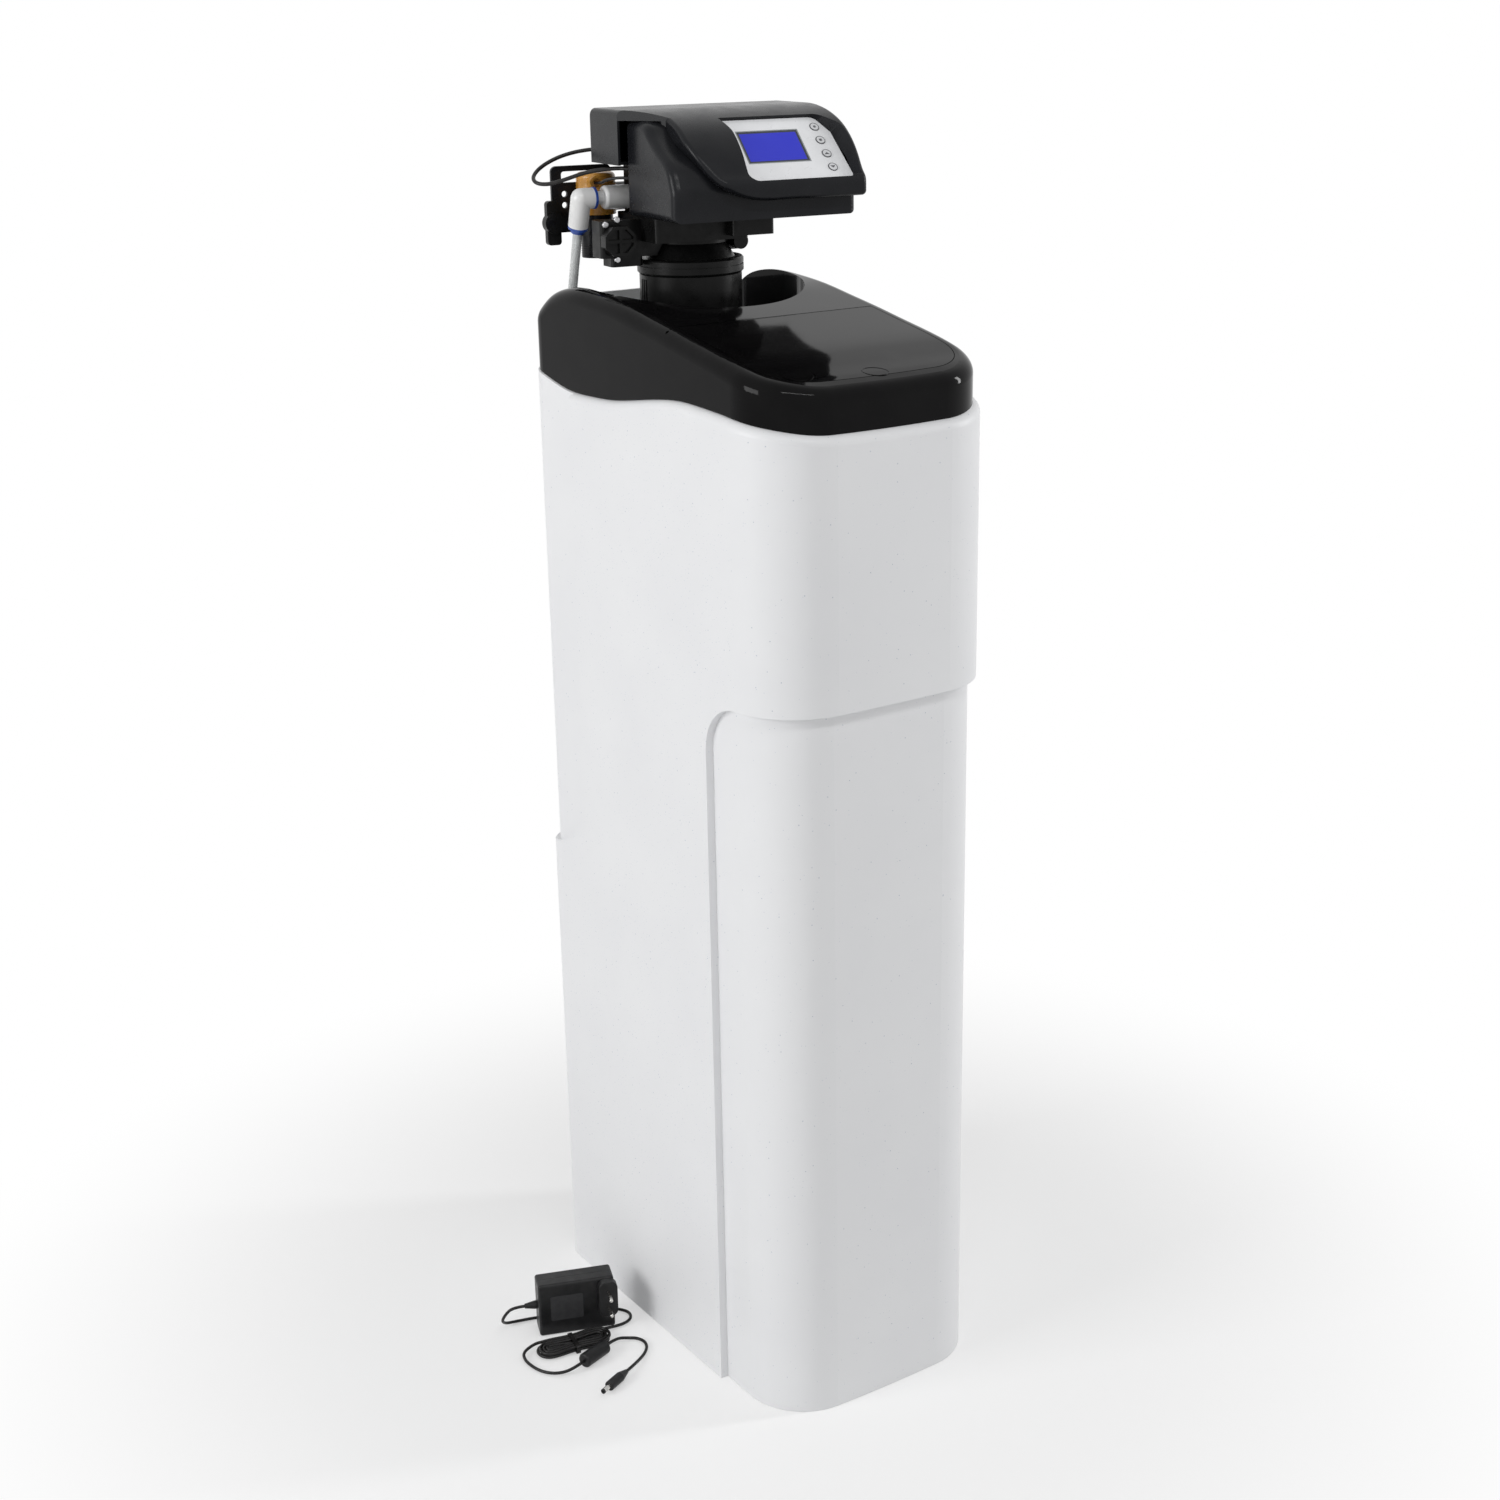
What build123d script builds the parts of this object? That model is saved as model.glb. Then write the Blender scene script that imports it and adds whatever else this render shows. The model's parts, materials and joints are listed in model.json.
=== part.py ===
"""Cabinet water softener: a rotomoulded salt cabinet with a pressure tank, brine well and control head.

Millimetres. +X is to the right seen from the front, the front faces -Y, +Z is up.
The origin is the centre of the cabinet's footprint, on the floor.
The valve and the control head stand on the tank's neck, turned a little about it.
"""
from build123d import *
import math
import os

# Cabinet
cabinet_width = 276.0
cabinet_depth = 458.0
front_corner_radius = 75.0
rear_corner_radius = 33.0
front_bow = 5.0
cabinet_wall = 4.5
cabinet_floor = 6.0
shoulder_radius = 9.0
front_recess_depth = 8.3
front_recess_y = -108.0
front_recess_top = 757.0
front_recess_corner = 52.0
rear_recess_depth = 5.4
rear_recess_half_width = 66.0
rear_recess_centre_z = 582.0
overrun = 40.0

# Wavy seam between cabinet and cover, seen from the side: places along the depth, heights along the wave
seam_trough = 1019.5
seam_wave = 18.0
seam_shares = (
    (-1.10, -0.45), (-1.0, -0.16), (-0.92, 0.17), (-0.80, 0.48), (-0.64, 0.75), (-0.48, 0.88), (-0.30, 0.95),
    (-0.135, 0.78), (0.06, 0.42), (0.25, 0.10), (0.44, -0.01), (0.606, 0.02), (0.75, 0.33), (0.90, 0.80),
    (1.10, 1.40),
)

# Cover
cover_inset = 7.0
cover_wall = 2.5
cover_edge_radius = 15.0
cover_low = 1074.0
cover_rise = 55.0
hinge_place_share = -0.17
hinge_rise_share = 0.485
cover_shares = (
    (-1.12, -0.62), (-1.0, -0.36), (-0.90, -0.18), (-0.79, -0.062), (-0.65, 0.09), (-0.50, 0.225),
    (-0.356, 0.337),
    (hinge_place_share, hinge_rise_share), (0.024, 0.625), (0.225, 0.765), (0.432, 0.85), (0.56, 0.875),
    (0.70, 0.82), (0.80, 0.70), (0.88, 0.50), (0.96, 0.20), (1.06, -0.30),
)
seam_gap = 0.4
upstand_fit = 0.6
upstand_wall = 3.5
upstand_height = 16.0
rear_wall_top = 1104.0
rear_wall_half_width = 95.0
opening_radius = 115.5
well_bottom = 1072.0
well_ledge_width = 6.0
well_ledge_back = 190.0

# Salt lid and its hinge
lid_rim = 18.0
lid_thickness = 3.0
lid_gap = 0.8
lid_seat_gap = 0.3
ledge_width = 7.0
ledge_thickness = 2.5
lid_rib_inset = 9.0
lid_rib_width = 2.0
lid_rib_depth = 9.0
hinge_barrel_radius = 3.5
hinge_pin_radius = 1.5
hinge_pin_fit = 0.05
hinge_barrel_gap = 0.5
hinge_pin_in_lid = 12.0
hinge_pin_in_cover = 5.0
hinge_boss_height = 12.0
hinge_boss_length = 6.5
finger_mark_radius = 17.0
finger_mark_shift = 7.0
finger_mark_depth = 0.9
finger_mark_x = -78.0
finger_mark_y = -186.0

# Pressure tank
tank_y = 115.0
tank_radius = 101.6
tank_wall = 3.6
tank_dome_height = 52.0
tank_foot_gap = 0.3
boot_wall = 3.0
boot_height = 110.0
boot_floor = 8.0
neck_radius = 45.0
neck_bore_radius = 40.2
neck_bottom = 1060.0
collar_bottom = 1131.0
neck_ring_height = 41.0
neck_ring_radius = 52.0
neck_ring_edge = 1.2
neck_flute_radius = 1.7
neck_flute_count = 3
neck_flute_groups = 2
neck_flute_pitch_angle = 5.5
neck_flute_first_angle = 173.0
neck_flute_stop = 5.0
neck_fit = 0.3
strainer_lift = 2.0
riser_radius = 13.35
riser_wall = 1.8
riser_top = 1157.0
strainer_radius = 24.0
strainer_height = 62.0
strainer_wall = 2.5
strainer_slot = 3.0
strainer_slot_count = 8
upper_basket_radius = 30.0
upper_basket_height = 34.0
resin_top = 800.0
resin_gap = 0.6

# Brine well, safety float and air check
well_x = -78.0
well_y = -50.0
well_radius = 45.0
well_wall = 2.5
well_top = 962.0
well_cap_radius = 48.0
well_cap_thickness = 3.0
well_cap_skirt = 14.0
well_slot_width = 4.0
well_slot_height = 40.0
well_slot_count = 8
float_valve_z = 900.0
float_valve_radius = 9.0
float_valve_reach = 53.0
float_valve_height = 30.0
brine_hole_gap = 1.0
air_tube_x = -20.0
air_tube_radius = 6.0
air_cage_radius = 14.0
air_cage_height = 60.0
air_cage_clear = 4.0
air_ball_radius = 7.0
air_ball_gap = 0.4
float_x = 18.0
float_radius = 19.0
float_height = 46.0
float_z = 300.0
float_rod_radius = 2.0
float_rod_bottom = 250.0
float_travel = 25.0
float_fit = 0.08
grommet_radius = 5.0
grommet_height = 4.0

# Overflow elbow in the rear wall
overflow_x = 78.0
overflow_z = 800.0
overflow_flange_radius = 13.0
overflow_flange_thickness = 3.0
overflow_pipe_radius = 8.0
overflow_bore_radius = 3.5
overflow_leg = 14.0
overflow_barb_radius = 5.0
overflow_barb_length = 20.0
overflow_reach = 18.0
overflow_inside = 13.0

# Valve and control head, in the head's own frame on the neck axis
head_turn = -7.3
collar_radius = 54.0
collar_top = 1146.0
collar_groove = 1.5
spigot_bottom = 1118.0
cone_low_radius = 45.0
cone_high_radius = 36.0
cone_top = 1161.0
valve_ring_radius = 38.5
valve_ring_height = 4.5
valve_deck_bottom = 1165.0
valve_deck_left = -58.0
valve_deck_right = 44.0
valve_deck_front = -46.0
valve_back = 50.0
valve_block_left = -50.0
valve_block_right = 60.0
valve_block_front = -5.0
valve_edge_radius = 4.0
drive_box_left = 20.0
drive_box_right = 66.0
drive_box_front = -60.0
drive_box_back = -25.0
drive_box_bottom = 1169.0
injector_arm_left = -101.0
injector_arm_front = -10.0
injector_arm_back = 16.0
injector_arm_bottom = 1150.0
injector_arm_top = 1186.0
injector_lug_left = -90.0
injector_lug_right = -56.0
injector_lug_bottom = 1141.0
drain_x = 46.0
drain_z = 1160.0
drain_boss_radius = 8.0
drain_boss_front = -24.0
drain_nut_radius = 10.0
drain_nut_length = 9.0
drain_barb_radius = 6.5
drain_barb_bore = 4.5
drain_barb_length = 26.0

# Ports behind the valve
manifold_y = 66.8
manifold_z = 1203.5
manifold_radius = 14.0
port_neck_radius = 12.0
port_neck_offset = 30.0
outlet_x = -72.6
inlet_x = 76.0
port_flat = 3.0
port_radius = 16.6
port_bore = 12.0
port_bottom = 1144.0
port_thread_length = 22.0
port_collar_radius = 18.5
port_collar_height = 5.0
inlet_top = 1226.0
meter_radius = 20.0
meter_wall = 2.5
meter_bottom = 1187.0
meter_top = 1228.5
meter_dome = 5.0
meter_boss_radius = 7.0
meter_boss_reach = 2.5
meter_boss_z = 1219.0
meter_boss_x = -81.0
sensor_hole_radius = 4.6
turbine_radius = 15.0
turbine_hub_radius = 4.0
turbine_blade_count = 8
turbine_blade_thickness = 1.4
turbine_height = 16.0
turbine_z = 1193.5
turbine_pin_radius = 1.5
turbine_fit = 0.06

# Bypass bracket and its hand lever
bracket_left = -112.0
bracket_right = -46.0
bracket_front = 89.0
bracket_thickness = 3.5
bracket_bottom = 1168.0
bracket_top = 1234.0
bracket_bar = 11.0
bracket_corner_radius = 6.0
bracket_slot_height = 11.0
bracket_hole_radius = 3.0
bracket_foot_width = 12.0
lever_x = -113.5
lever_z = 1178.5
lever_length = 44.0
lever_width = 15.0
lever_thickness = 7.0
lever_hub_radius = 10.5
lever_hub_proud = 3.0
lever_gap = 0.3
lever_pin_radius = 3.0
lever_pin_fit = 0.05

# Brine fitting and elbow, white, with blue collets
fitting_y = 34.0
fitting_z = 1205.5
fitting_radius = 11.8
fitting_left = -80.0
fitting_right = -52.0
fitting_stem_radius = 6.4
fitting_thread_radius = 7.5
elbow_x = -103.0
elbow_radius = 10.3
elbow_arm = 15.0
elbow_drop = 29.0
elbow_lean = 19.0
collet_radius = 10.8
collet_thickness = 2.6
collet_end_radius = 7.2
collet_end_length = 4.0
tube_radius = 4.75
tube_bore_radius = 3.2

# Injector cap and screws
cap_x = -85.0
cap_z = 1167.0
cap_width = 33.0
cap_height = 28.5
cap_thickness = 12.0
cap_corner = 9.0
cap_pocket_depth = 3.0
cap_rim = 3.0
cap_rib = 3.2
screw_head_radius = 3.2
screw_head_height = 2.6
screw_shank_radius = 1.7
screw_shank_length = 8.0
screw_fit = 0.05
screw_offsets = ((1.0, 20.2), (-11.5, 16.0), (0.0, -18.6))

# Control head: lower housing
base_left = -71.5
base_right = 126.0
base_front = -120.0
base_back = -8.0
base_bottom = 1190.0
base_top = 1281.5
base_knee_z = 1215.0
base_crown_y = -35.0
base_profile_shares = ((0.035, 0.16), (0.10, 0.34), (0.34, 0.585), (0.64, 0.835))
base_wall = 2.5
base_edge_radius = 8.0
base_back_radius = 9.0
tray_bottom = 1239.0
tray_thickness = 3.0
tray_gap = 0.5

# Control head: hood
hood_left = -82.0
hood_right = 131.0
hood_back = 57.0
hood_front = -134.0
hood_lip_bottom = 1208.0
hood_lip_top = 1219.0
hood_top = 1291.5
hood_step_y = -15.0
hood_step_x = -50.5
hood_step_front = -60.0
hood_wall = 2.5
hood_back_radius = 8.0
hood_edge_radius = 5.0
swoop_edge_radius = 4.0
hood_seat_gap = 0.3
hood_post_radius = 4.0
hood_post_inset = 13.0
swoop_shares = (
    (0.145, 1.12), (0.134, 0.93), (0.139, 0.76), (0.153, 0.61), (0.1925, 0.40), (0.2455, 0.228),
    (0.3145, 0.105), (0.411, 0.022), (0.52, 0.0), (0.70, 0.0),
)
hood_profile_shares = ((0.275, 0.955), (0.475, 0.865), (0.64, 0.735), (0.77, 0.565), (0.868, 0.37),
                       (0.947, 0.18))

# Display panel, leaning back with the hood's face
panel_x = 49.5
panel_y = -91.0
panel_z = 1255.3
panel_lean = 46.6
panel_thickness = 2.0
panel_gap = 0.3
panel_seat = 2.5
panel_left_top = -48.0
panel_right_top = 57.0
panel_top = 35.5
panel_bottom = -42.5
panel_right = 72.5
panel_shoulder = 69.0
panel_shoulder_v = 15.0
panel_waist = -44.0
panel_waist_v = 11.0
panel_left_bottom = -45.0
panel_corner_radius = 11.0
brow_height = 16.0
brow_flare_right = 8.0
brow_flare_down = 14.0
lcd_width = 66.0
lcd_height = 40.0
lcd_thickness = 1.6
lcd_frame = 2.0
lcd_gap = 0.2
board_width = 112.0
board_height = 66.0
board_thickness = 1.6
board_depth = 14.0
button_u = 54.0
button_top_v = 22.5
button_pitch = 17.5
button_count = 4
button_radius = 4.9
button_gap = 0.25
button_proud = 0.6
button_cap_thickness = 1.7
button_stem_radius = 1.8
button_stem_gap = 0.5
button_travel = 0.8
switch_height = 3.0
switch_side = 6.0

# Valve drive
stem_x = 5.0
stem_y = 22.0
stem_radius = 5.0
stem_fit = 0.06
stem_bottom = 1200.0
disc_radius = 18.0
disc_thickness = 6.0
disc_chamber_gap = 0.8
gear_module = 1.0
gear_teeth = 56
pinion_teeth = 14
gear_z = 1246.0
gear_thickness = 6.0
gear_backlash = 0.28
gear_hub_radius = 9.0
gear_hub_height = 6.0
pressure_angle = 20.0
motor_radius = 12.0
motor_height = 30.0
motor_gap = 2.0
motor_flange = 2.0
motor_flange_radius = 16.0
motor_shaft_radius = 2.0
motor_post_radius = 3.0

# Cables on the head
loop_cable_radius = 2.0
sensor_cable_radius = 1.5
gland_radius = 4.5
gland_length = 5.0
gland_x = -63.0
gland_z = 1250.0
entry_z = 1234.5

# Power adapter, standing on its long side, with its own frame at the lower front left corner
adapter_x = -258.0
adapter_y = 72.0
adapter_turn = -20.1
adapter_length = 84.0
adapter_height = 63.0
adapter_front_depth = 14.0
adapter_back_depth = 14.0
adapter_edge_radius = 3.0
adapter_groove = 0.5
plug_face_u = 76.0
plug_face_width = 21.0
plug_face_height = 43.0
plug_face_z = 40.0
plug_face_depth = 9.0
plug_face_corner = 8.0
plug_pin_radius = 2.0
plug_pin_sleeve_radius = 1.85
plug_pin_sleeve_length = 10.0
plug_pin_length = 19.0
plug_pin_spacing = 19.0

# Adapter cord
cord_radius = 1.7
relief_length = 14.0
relief_base_radius = 4.6
relief_tip_radius = 2.6
relief_base_length = 3.0
relief_z = 33.0
hank_x = -237.0
hank_y = 34.0
hank_turn = -9.7
hank_half_run = 27.0
hank_layers_gap = 0.5
hank_end_inner = 2.8
hank_waist_inner = 1.0
hank_turns_per_layer = 3
hank_low_z = 2.9
hank_lead = 3.4
tie_width = 4.5
tie_thickness = 0.8
tie_gap = 0.35
ferrite_x = -231.0
ferrite_y = -0.5
ferrite_turn = 18.9
ferrite_radius = 8.0
ferrite_length = 36.0
ferrite_edge = 2.5
plug_turn = 203.7
plug_boot_length = 12.0
plug_boot_radius = 2.4
plug_body_radius = 5.4
plug_body_length = 20.0
plug_barrel_radius = 2.75
plug_barrel_length = 9.5
plug_tip_length = 1.5
plug_bore_radius = 1.1
plug_x = -218.0
plug_y = -45.5
plug_z = 5.5

# Routes of the cords, chosen by hand: world frame for the tube and the adapter cord, head frame for the rest
brine_tube_route = [
    (-93.5, 194.0, 1112.0), (-94.0, 201.0, 1078.0), (-97.0, 201.5, 1040.0), (-105.0, 195.0, 1003.0),
    (-114.0, 180.0, 968.0), (-119.0, 152.0, 938.0), (-119.0, 114.0, 917.0), (-117.0, 78.0, 906.0),
    (-107.0, 50.0, 901.5), (-92.0, 33.0, 900.0), (-78.0, 20.0, 900.0),
]
loop_cable_route = [
    (-63.0, 76.0, 1250.0), (-72.0, 86.0, 1249.0), (-88.0, 91.0, 1246.5), (-106.0, 92.0, 1241.5),
    (-124.0, 89.0, 1233.5), (-136.0, 80.0, 1225.0), (-136.5, 68.0, 1219.5), (-126.0, 58.0, 1219.0),
    (-112.0, 48.0, 1224.0), (-99.0, 38.0, 1229.5), (-86.0, 26.5, 1233.0), (-72.0, 16.5, 1234.5),
]
sensor_cable_route = [(-81.0, 34.5, 1219.0), (-79.0, 25.0, 1223.0), (-72.0, 14.0, 1225.5)]
lead_route = [
    (-285.5, 99.0, 25.0), (-287.5, 105.5, 13.5), (-280.0, 111.5, 4.8),
    (-266.5, 112.5, 1.9), (-248.0, 107.5, 1.8), (-227.0, 99.0, 1.8), (-205.0, 91.5, 1.8),
    (-183.0, 83.0, 1.8), (-164.0, 72.0, 1.8), (-153.5, 56.5, 1.8), (-159.0, 42.5, 2.2), (-173.0, 37.0, 2.9),
]
wide_loop_route = [
    (-290.5, 52.0, 4.0), (-295.5, 40.0, 2.2), (-293.5, 24.5, 1.8), (-289.5, 11.0, 1.8),
    (-281.0, -0.5, 2.3), (-270.0, -8.0, 4.6),
]
tail_route = [
    (-193.0, 12.0, 6.2), (-183.0, 12.0, 2.6), (-174.0, 7.0, 1.8), (-170.0, -3.0, 1.8), (-173.0, -14.0, 1.8),
    (-182.0, -23.5, 1.8), (-194.0, -32.0, 3.2),
]
bend_share = 0.45

# Places worked out from the sizes above
half_depth = cabinet_depth / 2
seam_points = [(y * half_depth, seam_trough + z * seam_wave) for y, z in seam_shares]
cover_points = [(y * half_depth, cover_low + z * cover_rise) for y, z in cover_shares]
block_height = cover_low + 2 * cover_rise
hinge_y = hinge_place_share * half_depth
hinge_z = cover_low + hinge_rise_share * cover_rise - hinge_barrel_radius
lid_half_width = cabinet_width / 2 - cover_inset - lid_rim
head_place = Pos(0, tank_y, 0) * Rot(0, 0, head_turn)
adapter_place = Pos(adapter_x, adapter_y, 0) * Rot(0, 0, adapter_turn)
hank_place = Pos(hank_x, hank_y, 0) * Rot(0, 0, hank_turn)
ferrite_place = Pos(ferrite_x, ferrite_y, ferrite_radius) * Rot(0, 0, ferrite_turn)
plug_place = Pos(plug_x, plug_y, plug_z) * Rot(0, 0, plug_turn)
panel_frame = Plane(
    origin=(panel_x, panel_y, panel_z),
    x_dir=(1, 0, 0),
    z_dir=(0, -math.cos(math.radians(panel_lean)), math.sin(math.radians(panel_lean))),
)


def box_between(low, high):
    """A box from its low corner to its high corner."""
    size = [b - a for a, b in zip(low, high)]
    return Pos(*low) * Box(*size, align=(Align.MIN, Align.MIN, Align.MIN))


def rod(start, direction, radius, length):
    """A round bar from start along direction."""
    return extrude(Plane(origin=start, z_dir=direction) * Circle(radius), amount=length)


def upright(x, y, bottom, top, radius):
    """A vertical round bar between two heights."""
    return rod((x, y, bottom), (0, 0, 1), radius, top - bottom)


def point_at(place, x, y, z):
    """A point of a placed frame, in world coordinates."""
    return tuple((place * Pos(x, y, z)).position)


def bend_radii(route):
    """The largest arc at each corner that its two runs allow."""
    corners = [Vector(*point) for point in route]
    radii = []
    for before, here, after in zip(corners, corners[1:], corners[2:]):
        turn = math.radians((here - before).get_angle(after - here))
        shorter = min((here - before).length, (after - here).length)
        radii.append(bend_share * shorter / math.tan(turn / 2))
    return radii


def tube_along(name, route, radius, bore=0):
    """A round tube along a route of straight runs joined by arcs; prints its bends and its volume."""
    radii = bend_radii(route)
    path = FilletPolyline(*route, radius=radii)
    start = Vector(*route[1]) - Vector(*route[0])
    section = Circle(radius)
    if bore:
        section -= Circle(bore)
    tube = sweep(Plane(origin=route[0], z_dir=start) * section, path=path)
    expected = section.area * path.length
    print(name, "length", round(path.length, 1), "tightest bend", round(min(radii), 1))
    print(name, "volume", round(tube.volume), "section times length", round(expected))
    return tube


def corner_near(sketch, across, up):
    """The corner of a sketch nearest to a point of its own plane."""
    return min(sketch.vertices(), key=lambda corner: math.hypot(corner.X - across, corner.Y - up))


def cabinet_plan(inset=0.0):
    """Outline of the cabinet seen from above, drawn in by inset: bowed front, wide front corners."""
    half = cabinet_width / 2 - inset
    front = front_bow + inset - half_depth
    back = half_depth - inset
    with BuildSketch() as plan:
        with BuildLine():
            Polyline((-half, front), (-half, back), (half, back), (half, front))
            ThreePointArc((half, front), (0, front - front_bow), (-half, front))
        make_face()
        fillet(plan.vertices().sort_by(Axis.Y)[:2], front_corner_radius - inset)
        fillet(plan.vertices().sort_by(Axis.Y)[-2:], max(rear_corner_radius - inset, cabinet_wall))
    return plan.sketch


def below_curve(points, lift=0.0):
    """Everything below a side-view curve of (y, z) points, across the whole width."""
    curve = [(y, z + lift) for y, z in points]
    with BuildSketch(Plane.YZ.offset(-cabinet_width)) as profile:
        with BuildLine():
            Spline(curve)
            Polyline(curve[-1], (curve[-1][0], -overrun), (curve[0][0], -overrun), curve[0])
        make_face()
    return extrude(profile.sketch, amount=2 * cabinet_width)


def front_recess(inset):
    """What is cut from the lower front, whose step runs up each side and turns over the front."""
    edge = front_recess_y + inset
    top = front_recess_top + inset
    with BuildSketch(Plane.YZ.offset(-cabinet_width)) as side:
        with BuildLine():
            Polyline((edge, top), (edge, -overrun), (-cabinet_depth, -overrun), (-cabinet_depth, top),
                     (edge, top))
        make_face()
        fillet(corner_near(side, edge, top), front_recess_corner)
    slab = extrude(side.sketch, amount=2 * cabinet_width)
    core = Pos(0, 0, -overrun) * extrude(cabinet_plan(front_recess_depth + inset), amount=top + 2 * overrun)
    return slab - core


def rear_recess(inset):
    """What is cut from the upper rear corners, each cut with a round lower end."""
    half = rear_recess_half_width + inset
    core = extrude(cabinet_plan(rear_recess_depth + inset), amount=block_height + overrun)
    slabs = []
    for side in (-1, 1):
        corner = (side * cabinet_width / 2, half_depth, rear_recess_centre_z)
        facing = Plane(origin=corner, x_dir=(-1, side, 0), z_dir=(side, 1, 0))
        outline = Circle(half) + Pos(0, block_height / 2) * Rectangle(2 * half, block_height)
        slabs.append(extrude(facing * outline, amount=cabinet_width / 2, both=True))
    return (slabs[0] + slabs[1]) - core


def cabinet_form(inset=0.0):
    """The cabinet's form drawn in by inset, closed at the top by the seam."""
    block = extrude(cabinet_plan(inset), amount=block_height)
    return (block & below_curve(seam_points, -inset)) - front_recess(inset) - rear_recess(inset)


def make_cabinet_body():
    """Rotomoulded cabinet: open top with an upstand that the cover fits over, high wall at the rear."""
    outer = extrude(cabinet_plan(), amount=block_height) & below_curve(seam_points)
    rim = [edge for edge in outer.edges() if edge.center().Z > seam_trough - seam_wave]
    outer = fillet(rim, shoulder_radius)
    outer = outer - front_recess(0) - rear_recess(0)
    cavity = cabinet_form(cabinet_wall) - box_between(
        (-cabinet_width, -cabinet_depth, -overrun), (cabinet_width, cabinet_depth, cabinet_floor)
    )
    stand_out = cover_inset + cover_wall + upstand_fit
    stand_in = stand_out + upstand_wall
    mouth = Pos(0, 0, seam_trough - overrun) * extrude(cabinet_plan(stand_in), amount=block_height)
    ring = extrude(cabinet_plan(stand_out) - cabinet_plan(stand_in), amount=block_height)
    low_ring = (ring & below_curve(seam_points, upstand_height)) - below_curve(seam_points, -cabinet_wall)
    rear_zone = box_between(
        (-rear_wall_half_width, half_depth - rear_corner_radius, seam_trough),
        (rear_wall_half_width, half_depth, rear_wall_top),
    )
    behind_tank = cabinet_plan(cover_inset + cabinet_wall)
    mouth += extrude(behind_tank, amount=block_height) & rear_zone
    rear_ring = extrude(cabinet_plan(cover_inset) - behind_tank, amount=block_height)
    rear_wall = (rear_ring & rear_zone) - below_curve(seam_points, -cabinet_wall)
    body = outer - cavity - mouth + (low_ring - rear_zone) + rear_wall
    body -= rod((overflow_x, half_depth - overrun, overflow_z), (0, 1, 0), overflow_pipe_radius, 2 * overrun)
    return body


def neck_opening(grow, bottom, top):
    """The round opening about the tank's neck, open to the rear, widened by grow."""
    radius = opening_radius + grow
    outline = Circle(radius) + Pos(0, half_depth / 2) * Rectangle(2 * radius, half_depth)
    return Pos(0, tank_y, bottom) * extrude(outline, amount=top - bottom)


def lid_outline(inset=0.0, back=0.0):
    """Plan of the salt lid, cut straight at the hinge."""
    keep = Pos(0, hinge_y + back - cabinet_depth / 2) * Rectangle(cabinet_width, cabinet_depth)
    return cabinet_plan(cover_inset + lid_rim + inset) & keep


def lid_prism(inset=0.0, back=0.0):
    """The lid's plan as a tall prism."""
    return extrude(lid_outline(inset, back), amount=block_height)


def make_cover():
    """Cover with a sloping top, a round opening for the neck and a stepped opening for the lid."""
    outer = extrude(cabinet_plan(cover_inset), amount=block_height) & below_curve(cover_points)
    top_edges = [edge for edge in outer.edges() if edge.center().Z > seam_trough + seam_wave]
    outer = fillet(top_edges, cover_edge_radius)
    outer -= below_curve(seam_points, seam_gap)
    inner = extrude(cabinet_plan(cover_inset + cover_wall), amount=block_height)
    inner = inner & below_curve(cover_points, -cover_wall)
    inner_edges = [edge for edge in inner.edges() if edge.center().Z > seam_trough + seam_wave]
    inner = fillet(inner_edges, cover_edge_radius - cover_wall)
    shell = outer - inner
    tray = lid_prism(-lid_gap - cover_wall) & outer
    tray -= below_curve(cover_points, -lid_thickness - lid_seat_gap - ledge_thickness)
    well = (neck_opening(cover_wall, well_bottom, block_height) & outer)
    ledge = neck_opening(0, well_bottom, well_bottom + cover_wall)
    ledge -= neck_opening(-well_ledge_width, well_bottom, well_bottom + cover_wall)
    ledge = ledge & box_between((-cabinet_width, -cabinet_depth, 0),
                                (cabinet_width, well_ledge_back, block_height))
    bosses = [
        box_between(
            (side * (lid_half_width + hinge_boss_length) if side < 0 else lid_half_width,
             hinge_y - hinge_boss_height / 2, hinge_z - hinge_boss_height / 2),
            (side * lid_half_width if side < 0 else lid_half_width + hinge_boss_length,
             hinge_y + hinge_boss_height / 2, block_height),
        ) & outer
        for side in (-1, 1)
    ]
    cover = shell + tray + well + bosses[0] + bosses[1]
    cover -= neck_opening(0, 0, block_height)
    cover += ledge
    cover -= lid_prism(-lid_gap) - below_curve(cover_points, -lid_thickness - lid_seat_gap)
    cover -= lid_prism(ledge_width, -hinge_boss_height / 2)
    trough = rod(
        (-lid_half_width - lid_gap, hinge_y, hinge_z), (1, 0, 0),
        hinge_barrel_radius + hinge_barrel_gap, 2 * (lid_half_width + lid_gap),
    )
    slot = box_between(
        (-lid_half_width - lid_gap, hinge_y - hinge_boss_height, hinge_z - hinge_boss_height),
        (lid_half_width + lid_gap, hinge_y + hinge_barrel_radius + hinge_barrel_gap, hinge_z),
    )
    cover = cover - trough - slot
    cover -= rod((-cabinet_width / 2 + cover_inset + cover_wall, hinge_y, hinge_z), (1, 0, 0),
                 hinge_pin_radius, cabinet_width - 2 * (cover_inset + cover_wall))
    return cover


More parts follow.
